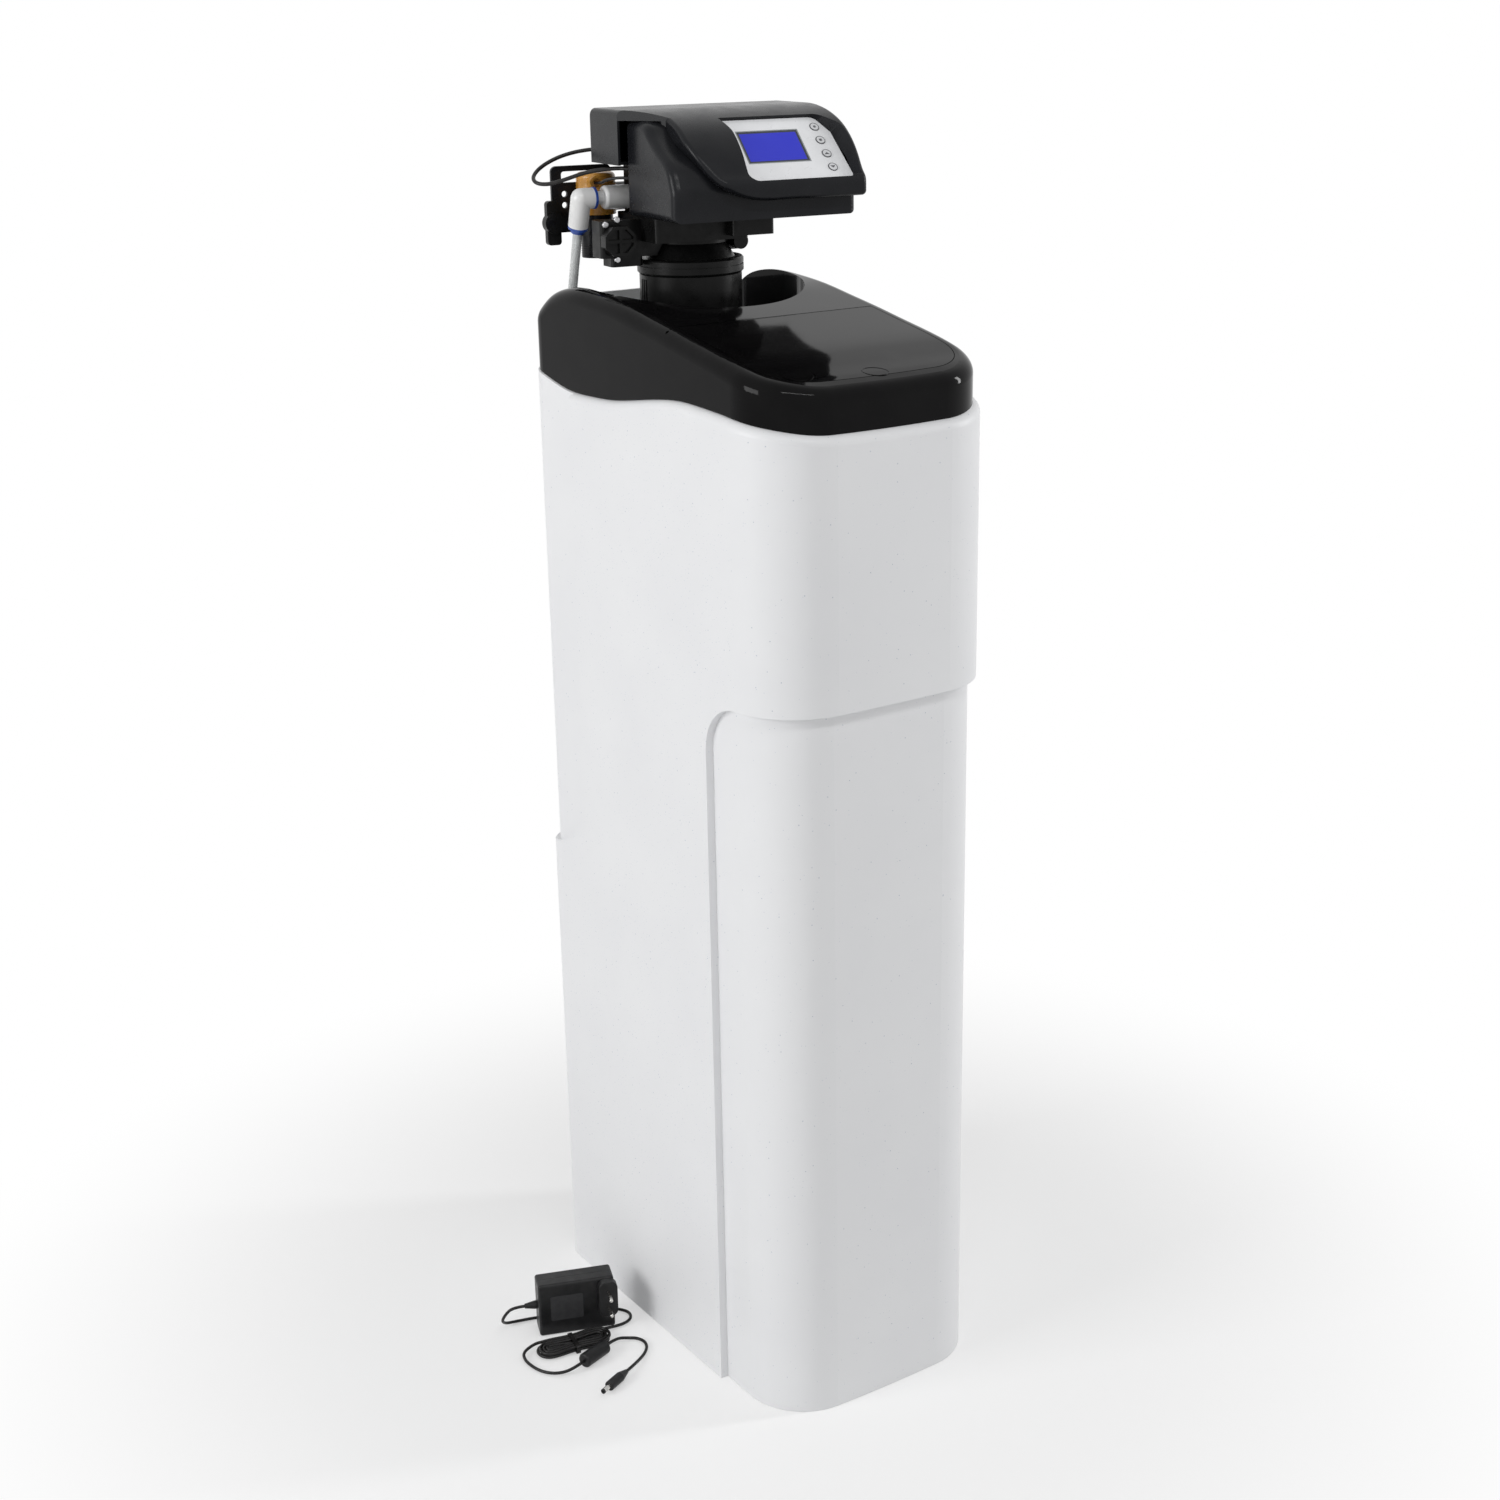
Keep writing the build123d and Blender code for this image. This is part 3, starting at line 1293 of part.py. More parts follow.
def hood_form(inset):
    """The hood's form drawn in by inset: box behind, swooping face in front, round edges."""
    length = hood_right - hood_left - 2 * inset
    bar = Pos(hood_left + inset, 0, 0) * extrude(hood_profile(inset), amount=length)
    ends = bar.faces().sort_by(Axis.X)
    bar = fillet(ends[0].edges() + ends[-1].edges(), hood_edge_radius - inset)
    bar = bar & (Pos(0, 0, base_bottom) * extrude(hood_plan(inset), amount=hood_top))
    rear = box_between((hood_left, hood_step_y, tray_bottom), (hood_right, hood_back, hood_top))
    left_top = box_between((hood_left, hood_step_front, base_top), (hood_right, hood_step_y, hood_top))
    form = bar & (rear + left_top + swoop_region(inset, hood_step_y, hood_front - overrun))
    brow = []
    for edge in form.edges():
        middle = edge.position_at(0.5)
        in_front = middle.Y < hood_step_front and middle.X < panel_x
        in_front = in_front and middle.Z > hood_lip_bottom + inset / 2
        if in_front and edge.length > 2 * swoop_edge_radius and edge.geom_type != GeomType.LINE:
            brow.append(edge)
    return fillet(brow, swoop_edge_radius - inset)


def panel_outline(grow=0.0, flare=0):
    """Outline of the display panel in its own plane, widened by grow; flare 1 is the brow's wider opening."""
    across = flare * brow_flare_right
    bottom = panel_bottom - flare * brow_flare_down
    with BuildSketch() as outline:
        with BuildLine():
            Polyline(
                (panel_left_top, panel_top), (panel_right_top + across, panel_top),
                (panel_shoulder + across, panel_shoulder_v), (panel_right + across, bottom),
                (panel_left_bottom, bottom), (panel_waist, panel_waist_v), (panel_left_top, panel_top),
            )
        make_face()
        fillet(corner_near(outline, panel_left_bottom, bottom), panel_corner_radius)
        fillet(corner_near(outline, panel_right_top + across, panel_top), panel_corner_radius)
        fillet(corner_near(outline, panel_right + across, bottom), panel_corner_radius / 4)
    if grow:
        return offset(outline.sketch, grow)
    return outline.sketch


def on_panel(sketch, depth, thickness):
    """A sketch of the panel's plane, extruded outward from depth below its face."""
    return extrude(panel_frame.offset(-depth) * sketch, amount=thickness)


def brow_opening(grow, depth):
    """The hollow over the panel: straight from depth below its face, then flaring to the right and below."""
    flare = loft([panel_frame * panel_outline(grow),
                  panel_frame.offset(brow_height) * panel_outline(grow, 1)])
    return on_panel(panel_outline(grow), depth, overrun) + flare


def button_places():
    """Places of the buttons on the panel."""
    return [(button_u, button_top_v - index * button_pitch) for index in range(button_count)]


def make_hood():
    """Black hood with its recessed seat for the display panel."""
    outer = hood_form(0)
    inner = hood_form(hood_wall)
    inner += box_between(
        (hood_left + hood_wall, hood_step_y, tray_bottom - overrun),
        (hood_right - hood_wall, hood_back - hood_wall, tray_bottom + 2 * hood_wall),
    )
    seat_depth = panel_thickness + panel_seat
    seat = brow_opening(panel_seat, seat_depth)
    hood = outer - (inner - seat)
    hood -= base_form(-hood_seat_gap)
    hood -= brow_opening(panel_gap, panel_thickness)
    window = Rectangle(lcd_width - 2 * lcd_frame, lcd_height - 2 * lcd_frame)
    hood -= on_panel(window, seat_depth + overrun / 2, overrun)
    for u, v in button_places():
        hood -= on_panel(Pos(u, v) * Circle(button_stem_radius + button_stem_gap), seat_depth + overrun / 2,
                         overrun)
    for x in (hood_left + hood_post_inset, hood_right - hood_post_inset):
        post = upright(x, hood_back - hood_post_inset, tray_bottom + tray_thickness, hood_top - hood_wall / 2,
                       hood_post_radius)
        hood += post
    hood += rod((gland_x, hood_back - hood_wall, gland_z), (0, 1, 0), gland_radius, hood_wall + gland_length)
    return head_place * hood


def make_base():
    """Lower housing: tub with a round left shoulder, open under the hood, and a tray over the valve."""
    shell = base_form(0) - base_form(base_wall)
    open_top = swoop_region(2 * hood_wall + base_wall, base_back - base_wall - hood_seat_gap,
                            hood_front - overrun)
    shell -= open_top
    shell -= box_between(
        (hood_step_x, base_back - 2 * base_wall, tray_bottom + tray_thickness),
        (base_right + overrun, base_back + base_wall, base_top + overrun),
    )
    tray = box_between(
        (hood_left + hood_wall + tray_gap, base_back - base_wall, tray_bottom),
        (hood_right - hood_wall - tray_gap, hood_back - hood_wall - tray_gap, tray_bottom + tray_thickness),
    )
    tray -= box_between((hood_left, hood_front, tray_bottom),
                        (base_left, base_back, tray_bottom + tray_thickness))
    tray -= box_between((base_right, hood_front, tray_bottom),
                        (hood_right, base_back, tray_bottom + tray_thickness))
    base = shell + tray
    base -= upright(stem_x, stem_y, base_bottom, hood_top, stem_radius + 4 * tray_gap)
    return head_place * base


def make_panel():
    """Silver display panel with a window and four button holes."""
    panel = on_panel(panel_outline(), panel_thickness, panel_thickness)
    panel -= on_panel(Rectangle(lcd_width, lcd_height), panel_thickness, overrun)
    for u, v in button_places():
        panel -= on_panel(Pos(u, v) * Circle(button_radius + button_gap), panel_thickness, overrun)
    return head_place * panel


def make_lcd():
    """Window of the display, set in the panel."""
    window = Rectangle(lcd_width - 2 * lcd_gap, lcd_height - 2 * lcd_gap)
    return head_place * on_panel(window, panel_thickness, lcd_thickness)


def make_board():
    """Circuit board behind the panel, with the display block and a switch below each button."""
    depth = panel_thickness + panel_seat + board_depth
    board = on_panel(Rectangle(board_width, board_height), depth, board_thickness)
    block = Rectangle(lcd_width - 3 * lcd_frame, lcd_height - 3 * lcd_frame)
    board += on_panel(block, depth - board_thickness, board_depth - board_thickness + panel_seat)
    for u, v in button_places():
        board += on_panel(Pos(u, v) * Rectangle(switch_side, switch_side), depth - board_thickness,
                          switch_height)
    return head_place * board


def make_button(place):
    """One round button with its stem down to the switch."""
    u, v = place
    cap = on_panel(Pos(u, v) * Circle(button_radius), button_cap_thickness - button_proud,
                   button_cap_thickness)
    reach = panel_thickness + panel_seat + board_depth - board_thickness
    reach -= switch_height + button_travel + panel_gap
    stem = on_panel(Pos(u, v) * Circle(button_stem_radius), reach, reach)
    return head_place * (cap + stem)


def gear_outline(teeth):
    """Involute-like gear outline, centred on a tooth along +X."""
    pitch_radius = gear_module * teeth / 2
    base_radius = pitch_radius * math.cos(math.radians(pressure_angle))
    tip_radius = pitch_radius + gear_module
    root_radius = pitch_radius - 1.25 * gear_module
    alpha = math.radians(pressure_angle)
    involute = math.tan(alpha) - alpha
    half_tooth = math.pi / (2 * teeth) - gear_backlash / (2 * pitch_radius)
    start_radius = max(base_radius, root_radius)
    radii = [start_radius, (start_radius + pitch_radius) / 2, pitch_radius, (pitch_radius + tip_radius) / 2,
             tip_radius]
    flank = []
    for radius in radii:
        angle = math.acos(min(1.0, base_radius / radius))
        flank.append((radius, half_tooth + involute - (math.tan(angle) - angle)))
    points = []
    for index in range(teeth):
        centre = 2 * math.pi * index / teeth
        side = [(root_radius, flank[0][1])] * (start_radius > root_radius) + flank
        for radius, angle in side:
            points.append((radius * math.cos(centre - angle), radius * math.sin(centre - angle)))
        for radius, angle in reversed(side):
            points.append((radius * math.cos(centre + angle), radius * math.sin(centre + angle)))
    return make_face(Polyline(*points, points[0]))


def make_drive_gear():
    """Main gear on the valve stem."""
    gear = extrude(gear_outline(gear_teeth), amount=gear_thickness)
    gear += upright(0, 0, gear_thickness, gear_thickness + gear_hub_height, gear_hub_radius)
    for index in range(6):
        gear -= Rot(0, 0, index * 60) * upright(gear_module * gear_teeth / 3, 0, 0, gear_thickness,
                                                gear_hub_radius / 2)
    gear -= upright(0, 0, 0, gear_thickness + gear_hub_height, stem_radius)
    return head_place * Pos(stem_x, stem_y, gear_z) * gear


def pinion_x():
    """Centre of the pinion beside the main gear."""
    return stem_x + gear_module * (gear_teeth + pinion_teeth) / 2


def make_pinion():
    """Pinion on the motor's shaft, turned by half a tooth to mesh."""
    pinion = extrude(gear_outline(pinion_teeth), amount=gear_thickness)
    shaft = upright(0, 0, gear_thickness, gear_thickness + motor_gap, motor_shaft_radius)
    half_pitch = 180 / pinion_teeth
    facing = 180 + half_pitch
    return head_place * Pos(pinion_x(), stem_y, gear_z) * Rot(0, 0, facing) * (pinion + shaft)


def make_motor():
    """Geared motor above the pinion, on a flange with posts down to the tray."""
    bottom = gear_z + gear_thickness + motor_gap
    motor = upright(pinion_x(), stem_y, bottom, bottom + motor_height, motor_radius)
    tray_top = tray_bottom + tray_thickness
    reach = motor_flange_radius
    for side in (-1, 1):
        motor += upright(pinion_x() + reach / 2, stem_y + side * reach, tray_top, bottom + motor_flange,
                         motor_post_radius)
    flange = box_between(
        (pinion_x() - motor_post_radius, stem_y - reach - motor_post_radius, bottom),
        (pinion_x() + reach / 2 + motor_post_radius, stem_y + reach + motor_post_radius,
         bottom + motor_flange),
    )
    return head_place * (motor + flange)


def make_stem():
    """Valve stem from the moving disc up through the main gear."""
    top = gear_z + gear_thickness + gear_hub_height
    stem = upright(stem_x, stem_y, stem_bottom + 2 * disc_thickness, top, stem_radius)
    return head_place * stem


def disc_ports(disc):
    """The disc with its three flow ports."""
    for index in range(3):
        port = upright(disc_radius * 0.58, 0, 0, disc_thickness, disc_radius / 5)
        disc -= Rot(0, 0, index * 120) * port
    return disc


def make_moving_disc():
    """Moving ceramic disc under the stem."""
    disc = disc_ports(upright(0, 0, 0, disc_thickness - disc_chamber_gap / 2, disc_radius))
    return head_place * Pos(stem_x, stem_y, stem_bottom + disc_thickness + disc_chamber_gap / 2) * disc


def make_fixed_disc():
    """Fixed ceramic disc in the valve body."""
    disc = disc_ports(upright(0, 0, 0, disc_thickness, disc_radius + disc_chamber_gap))
    return head_place * Pos(stem_x, stem_y, stem_bottom - disc_chamber_gap) * disc


def head_points(route):
    """A route of the head's frame in world coordinates."""
    return [point_at(head_place, *point) for point in route]


def make_loop_cable():
    """Cable that loops out behind the head and back into the lower housing."""
    start = (gland_x, hood_back + gland_length, gland_z)
    end = (gland_x, base_back, entry_z)
    before_end = (gland_x, base_back + 3 * gland_length, entry_z)
    route = head_points([start] + loop_cable_route + [before_end, end])
    return tube_along("loop_cable", route, loop_cable_radius)


def make_sensor_cable():
    """Sensor lead from the flow meter's socket to the lower housing."""
    front = manifold_y - meter_radius - meter_boss_reach
    start = (meter_boss_x, front + meter_boss_reach + meter_wall / 2, meter_boss_z)
    end = (gland_x, base_back, entry_z - 2 * gland_radius)
    before_end = (gland_x, base_back + 2 * gland_length, entry_z - 2 * gland_radius)
    route = head_points([start] + sensor_cable_route + [before_end, end])
    return tube_along("sensor_cable", route, sensor_cable_radius)


def make_brine_tube():
    """Brine tube from the elbow down into the cabinet and forward to the brine well."""
    first = elbow_drop + collet_thickness + collet_end_length
    start = point_at(head_place, *elbow_point(first))
    after_start = point_at(head_place, *elbow_point(first + 6 * tube_radius))
    end = (well_x, well_y + float_valve_reach, float_valve_z)
    route = [start, after_start] + brine_tube_route + [end]
    return tube_along("brine_tube", route, tube_radius, tube_bore_radius)


def make_adapter_front():
    """Front half of the adapter's case, which faces the socket."""
    case = box_between((0, 0, 0), (adapter_length, adapter_front_depth - adapter_groove / 2, adapter_height))
    edges = case.faces().sort_by(Axis.Y)[0].edges() + case.edges().filter_by(Axis.Y)
    return adapter_place * fillet(edges, adapter_edge_radius)


def make_adapter_back():
    """Back half of the adapter's case, with drafted sides."""
    case = box_between((0, adapter_front_depth, 0),
                       (adapter_length, adapter_front_depth + adapter_back_depth, adapter_height))
    edges = case.faces().sort_by(Axis.Y)[-1].edges() + case.edges().filter_by(Axis.Y)
    tongue = box_between(
        (adapter_edge_radius, adapter_front_depth - adapter_groove / 2, adapter_edge_radius),
        (adapter_length - adapter_edge_radius, adapter_front_depth, adapter_height - adapter_edge_radius),
    )
    return adapter_place * (fillet(edges, adapter_edge_radius) + tongue)


def make_plug_face():
    """Raised plug face on the adapter, with bores for its pins."""
    face = Plane(origin=(plug_face_u, 0, plug_face_z), x_dir=(1, 0, 0), z_dir=(0, -1, 0))
    outline = RectangleRounded(plug_face_width, plug_face_height, plug_face_corner)
    block = extrude(face * outline, amount=plug_face_depth)
    return adapter_place * fillet(block.faces().sort_by(Axis.Y)[0].edges(), adapter_groove * 2)


def make_plug_pins():
    """Two sleeved pins of the plug."""
    pins = []
    for side in (-1, 1):
        start = (plug_face_u, -plug_face_depth, plug_face_z + side * plug_pin_spacing / 2)
        pin = rod(start, (0, -1, 0), plug_pin_sleeve_radius, plug_pin_sleeve_length)
        tip = rod(start, (0, -1, 0), plug_pin_radius, plug_pin_length)
        tip = fillet(tip.faces().sort_by(Axis.Y)[0].edges(), plug_pin_radius / 2)
        tip -= rod(start, (0, -1, 0), plug_pin_radius + plug_pin_radius, plug_pin_sleeve_length)
        pins.append(adapter_place * (pin + tip))
    return pins


def make_strain_relief():
    """Tapered strain relief at the end of the adapter."""
    depth = adapter_front_depth
    start = (0, depth, relief_z)
    base = rod(start, (-1, 0, 0), relief_base_radius, relief_base_length)
    cone = loft([
        Plane(origin=(-relief_base_length, depth, relief_z), z_dir=(-1, 0, 0)) * Circle(relief_base_radius),
        Plane(origin=(-relief_length, depth, relief_z), z_dir=(-1, 0, 0)) * Circle(relief_tip_radius),
    ])
    return adapter_place * (base + cone)


def hank_offsets():
    """Distance of each run from the hank's middle line, at its ends and at its waist."""
    step = (2 * cord_radius + hank_layers_gap) / 2
    count = 2 * hank_turns_per_layer
    inward = [count - index for index in range(count)]
    order = inward + [index for index in range(count + 1)]
    return [(hank_end_inner + k * step, hank_waist_inner + k * step) for k in order]


def s_curve(start, end):
    """Two equal arcs from start to end that leave and arrive along X."""
    middle = (start + end) / 2
    run = end.X - start.X
    side = Vector(0, end.Y - start.Y, end.Z - start.Z)
    if side.length < cord_radius / 100:
        return [Line(start, end)]
    heading = Vector(math.copysign(1, run), 0, 0)
    return [
        TangentArc(start, middle, tangent=heading),
        TangentArc(end, middle, tangent=-heading),
    ]


def hank_edges():
    """The hank's path: runs drawn in at the waist, joined by half turns, in two layers."""
    offsets = hank_offsets()
    layer = 2 * cord_radius + hank_layers_gap
    last_low = 2 * hank_turns_per_layer
    edges = []
    for index, (end_y, waist_y) in enumerate(offsets):
        side = 1 if index % 2 == 0 else -1
        z_in = hank_low_z if index <= last_low else hank_low_z + layer
        z_out = hank_low_z if index < last_low else hank_low_z + layer
        z_waist = (z_in + z_out) / 2
        start = Vector(side * hank_half_run, side * end_y, z_in)
        waist = Vector(0, side * waist_y, z_waist)
        finish = Vector(-side * hank_half_run, side * end_y, z_out)
        if index == 0:
            edges.append(Line(start + Vector(hank_lead, 0, 0), start))
        edges += s_curve(start, waist) + s_curve(waist, finish)
        if index < len(offsets) - 1:
            next_y = offsets[index + 1][0]
            far = Vector(finish.X, -side * next_y, z_out)
            edges.append(TangentArc(finish, far, tangent=Vector(-side, 0, 0)))
        else:
            edges.append(Line(finish, finish - Vector(hank_lead, 0, 0)))
    return edges


def make_hank():
    """Cord hank: one unbroken tube of six loops in two layers."""
    edges = hank_edges()
    path = Wire(edges)
    start = path.position_at(0)
    section = Plane(origin=start, z_dir=path.tangent_at(0)) * Circle(cord_radius)
    hank = sweep(section, path=path)
    samples = [path.position_at(index / 900) for index in range(901)]
    apart = int(900 * 4 * cord_radius / path.length) + 1
    least = min(
        (samples[i] - samples[j]).length for i in range(901) for j in range(i + apart, 901)
    ) - 2 * cord_radius
    print("hank length", round(path.length, 1), "least gap", round(least, 2))
    print("hank volume", round(hank.volume), "section times length",
          round(math.pi * cord_radius**2 * path.length))
    return hank_place * hank


def make_tie():
    """Tie about the hank's waist, resting on the floor."""
    layer = 2 * cord_radius + hank_layers_gap
    outer_y = hank_waist_inner + 2 * hank_turns_per_layer * layer / 2 + cord_radius + tie_gap
    low = hank_low_z - cord_radius - tie_gap
    high = hank_low_z + layer + cord_radius + tie_gap
    band = box_between(
        (-tie_width / 2, -outer_y - tie_thickness, low - tie_thickness),
        (tie_width / 2, outer_y + tie_thickness, high + tie_thickness),
    )
    band = fillet(band.edges().filter_by(Axis.X), cord_radius + tie_thickness)
    hole = box_between((-tie_width / 2, -outer_y, low), (tie_width / 2, outer_y, high))
    return hank_place * (band - fillet(hole.edges().filter_by(Axis.X), cord_radius))


def make_ferrite():
    """Moulded noise filter on the cord."""
    core = rod((-ferrite_length / 2, 0, 0), (1, 0, 0), ferrite_radius, ferrite_length)
    return ferrite_place * fillet(core.edges().filter_by(GeomType.CIRCLE), ferrite_edge)


def hank_start():
    """Where the lead meets the hank."""
    end_y = hank_offsets()[0][0]
    return point_at(hank_place, hank_half_run + hank_lead, end_y, hank_low_z)


def hank_finish():
    """Where the hank meets the wide loop."""
    end_y = hank_offsets()[-1][0]
    return point_at(hank_place, -hank_half_run - hank_lead, end_y,
                    hank_low_z + 2 * cord_radius + hank_layers_gap)


def make_lead():
    """Cord from the strain relief behind the adapter to the hank."""
    start = point_at(adapter_place, -relief_length, adapter_front_depth, relief_z)
    after_start = point_at(adapter_place, -relief_length - 4 * hank_lead, adapter_front_depth, relief_z)
    before_end = point_at(hank_place, hank_half_run + 5 * hank_lead, hank_offsets()[0][0], hank_low_z)
    route = [start, after_start] + lead_route + [before_end, hank_start()]
    return tube_along("cord_lead", route, cord_radius)


def make_wide_loop():
    """Cord from the hank round its left end to the noise filter."""
    before_end = point_at(ferrite_place, -ferrite_length / 2 - 3 * hank_lead, 0, 0)
    end = point_at(ferrite_place, -ferrite_length / 2, 0, 0)
    layer_z = hank_low_z + 2 * cord_radius + hank_layers_gap
    after_start = point_at(hank_place, -hank_half_run - 4 * hank_lead, hank_offsets()[-1][0], layer_z)
    route = [hank_finish(), after_start] + wide_loop_route + [before_end, end]
    return tube_along("cord_wide_loop", route, cord_radius)


def make_tail():
    """Cord from the noise filter to the barrel plug."""
    start = point_at(ferrite_place, ferrite_length / 2, 0, 0)
    after_start = point_at(ferrite_place, ferrite_length / 2 + 3 * hank_lead, 0, 0)
    before_end = point_at(plug_place, -3 * hank_lead, 0, 0)
    route = [start, after_start] + tail_route + [before_end, (plug_x, plug_y, plug_z)]
    return tube_along("cord_tail", route, cord_radius)


def make_barrel_plug():
    """Barrel plug: boot and grip."""
    boot = loft([
        Plane(origin=(0, 0, 0), z_dir=(1, 0, 0)) * Circle(plug_boot_radius),
        Plane(origin=(plug_boot_length, 0, 0), z_dir=(1, 0, 0)) * Circle(plug_body_radius),
    ])
    grip = rod((plug_boot_length, 0, 0), (1, 0, 0), plug_body_radius, plug_body_length)
    grip = fillet(grip.faces().sort_by(Axis.X)[-1].edges(), plug_boot_radius / 3)
    return plug_place * (boot + grip)


def make_plug_barrel():
    """Metal barrel of the plug."""
    start = (plug_boot_length + plug_body_length, 0, 0)
    barrel = rod(start, (1, 0, 0), plug_barrel_radius, plug_barrel_length)
    return plug_place * (barrel - rod(start, (1, 0, 0), plug_bore_radius, plug_barrel_length))


def make_plug_tip():
    """Insulating ring at the barrel's tip."""
    start = (plug_boot_length + plug_body_length + plug_barrel_length, 0, 0)
    ring = rod(start, (1, 0, 0), plug_barrel_radius, plug_tip_length)
    return plug_place * (ring - rod(start, (1, 0, 0), plug_bore_radius, plug_tip_length))


def make_nodes():
    """Every node of the part, by name."""
    nodes = {
        "cabinet_body": make_cabinet_body(),
        "cover": make_cover(),
        "salt_lid": make_salt_lid(),
        "lid_hinge_pins": make_hinge_pins(),
        "pressure_tank": make_tank(),
        "tank_boot": make_boot(),
        "tank_neck_ring": make_neck_ring(),
        "riser_and_strainers": [make_riser(), make_bottom_strainer(), make_upper_basket()],
        "resin_bed": make_resin_bed(),
        "brine_well": make_brine_well(),
        "brine_well_cap": make_well_cap(),
        "float_valve_body": make_float_valve(),
        "air_check_pipe": make_air_check(),
        "air_check_ball": make_air_ball(),
        "float_and_rod": [make_float(), make_float_rod()],
        "brine_tube": make_brine_tube(),
        "overflow_elbow": make_overflow_elbow(),
        "valve_collar": make_collar(),
        "valve_body": make_valve_body(),
        "port_pipes": [make_inlet_port(), make_outlet_port()],
        "flow_meter_body": make_flow_meter(),
        "flow_turbine": make_turbine(),
        "bypass_bracket": make_bracket(),
        "bypass_lever": make_lever(),
        "drain_fitting": make_drain_fitting(),
        "brine_fitting": make_brine_fitting(),
        "brine_elbow": make_brine_elbow(),
        "elbow_collets": make_collets(),
        "injector_cap": make_injector_cap(),
        "injector_screws": make_cap_screws(),
        "head_base": make_base(),
        "head_hood": make_hood(),
        "display_panel": make_panel(),
        "lcd_window": make_lcd(),
        "control_board": make_board(),
        "drive_gear": make_drive_gear(),
        "drive_pinion": make_pinion(),
        "drive_motor": make_motor(),
        "valve_stem": make_stem(),
        "moving_disc": make_moving_disc(),
        "fixed_disc": make_fixed_disc(),
        "head_cables": [make_loop_cable(), make_sensor_cable()],
        "adapter_case_front": make_adapter_front(),
        "adapter_case_back": make_adapter_back(),
        "adapter_plug_face": make_plug_face(),
        "adapter_plug_pins": make_plug_pins(),
        "adapter_strain_relief": make_strain_relief(),
        "cord_lead": make_lead(),
        "cord_hank": make_hank(),
        "cord_tie": make_tie(),
        "cord_wide_loop": make_wide_loop(),
        "ferrite_core": make_ferrite(),
        "cord_tail": make_tail(),
        "barrel_plug": [make_barrel_plug(), make_plug_tip()],
        "plug_barrel": make_plug_barrel(),
    }
    for index, place in enumerate(button_places()):
        nodes["button_" + str(index + 1)] = make_button(place)
    return nodes


def write_nodes():
    """Write one STEP file for each node."""
    os.makedirs("parts", exist_ok=True)
    for name, shape in make_nodes().items():
        solids = shape if isinstance(shape, list) else [shape]
        pieces = [solid for one in solids for solid in one.solids()]
        whole = pieces[0] if len(pieces) == 1 else Compound(children=pieces)
        export_step(whole, "parts/" + name + ".step")


write_nodes()
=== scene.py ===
"""Looks of the cabinet water softener: camera, cords, materials, small details, light and floor."""

import json
import math

import bpy
from mathutils import Matrix, Vector


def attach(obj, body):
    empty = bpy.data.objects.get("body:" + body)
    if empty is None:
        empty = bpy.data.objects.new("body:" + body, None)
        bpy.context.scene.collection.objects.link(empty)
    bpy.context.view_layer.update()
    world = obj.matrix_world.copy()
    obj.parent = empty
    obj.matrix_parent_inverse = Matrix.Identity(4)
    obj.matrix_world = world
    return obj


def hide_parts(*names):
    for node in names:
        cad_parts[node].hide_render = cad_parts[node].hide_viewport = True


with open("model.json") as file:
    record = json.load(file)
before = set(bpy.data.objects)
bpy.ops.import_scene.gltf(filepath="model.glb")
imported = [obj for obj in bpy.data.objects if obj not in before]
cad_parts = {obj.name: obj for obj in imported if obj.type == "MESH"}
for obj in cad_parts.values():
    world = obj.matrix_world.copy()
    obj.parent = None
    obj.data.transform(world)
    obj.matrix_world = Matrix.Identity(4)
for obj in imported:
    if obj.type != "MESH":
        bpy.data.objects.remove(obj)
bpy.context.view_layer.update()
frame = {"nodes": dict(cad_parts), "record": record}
nodes = frame["nodes"]
MM = 0.001

# Camera at the photograph's place: metres and radians, lens and sensor in millimetres
EYE = (-1.235, -1.835, 1.393)
YAW = math.radians(33.62)
PITCH = math.radians(18.59)
ROLL = math.radians(-1.06)
LENS = 53.70
SENSOR = 36.0
CLIP = (0.05, 60.0)

# Frames of the head, adapter, hank, noise filter and plug, in millimetres as in the part's source
HEAD = Matrix.Translation((0.0, 115.0, 0.0)) @ Matrix.Rotation(math.radians(-7.3), 4, "Z")
ADAPTER = Matrix.Translation((-258.0, 72.0, 0.0)) @ Matrix.Rotation(math.radians(-20.1), 4, "Z")
HANK = Matrix.Translation((-237.0, 34.0, 0.0)) @ Matrix.Rotation(math.radians(-9.7), 4, "Z")
FERRITE = Matrix.Translation((-231.0, -0.5, 8.0)) @ Matrix.Rotation(math.radians(18.9), 4, "Z")
PLUG = Matrix.Translation((-218.0, -45.5, 5.5)) @ Matrix.Rotation(math.radians(203.7), 4, "Z")

# Display panel's place, the display and the buttons, in millimetres as in the part's source
PANEL_ORIGIN = (49.5, -91.0, 1255.3)
PANEL_LEAN = math.radians(46.6)
LCD_HALF_WIDTH = 33.0
LCD_HALF_HEIGHT = 20.0
LCD_BORDER = 2.2
LCD_LIP = 1.2
CELL = 0.9
CELL_EDGE_SHARE = 0.86
BUTTON_U = 54.0
BUTTON_TOP_V = 22.5
BUTTON_PITCH = 17.5
BUTTON_COUNT = 4
BUTTON_RADIUS = 4.9
BUTTON_RING = 0.75
BUTTON_MARK = 1.5

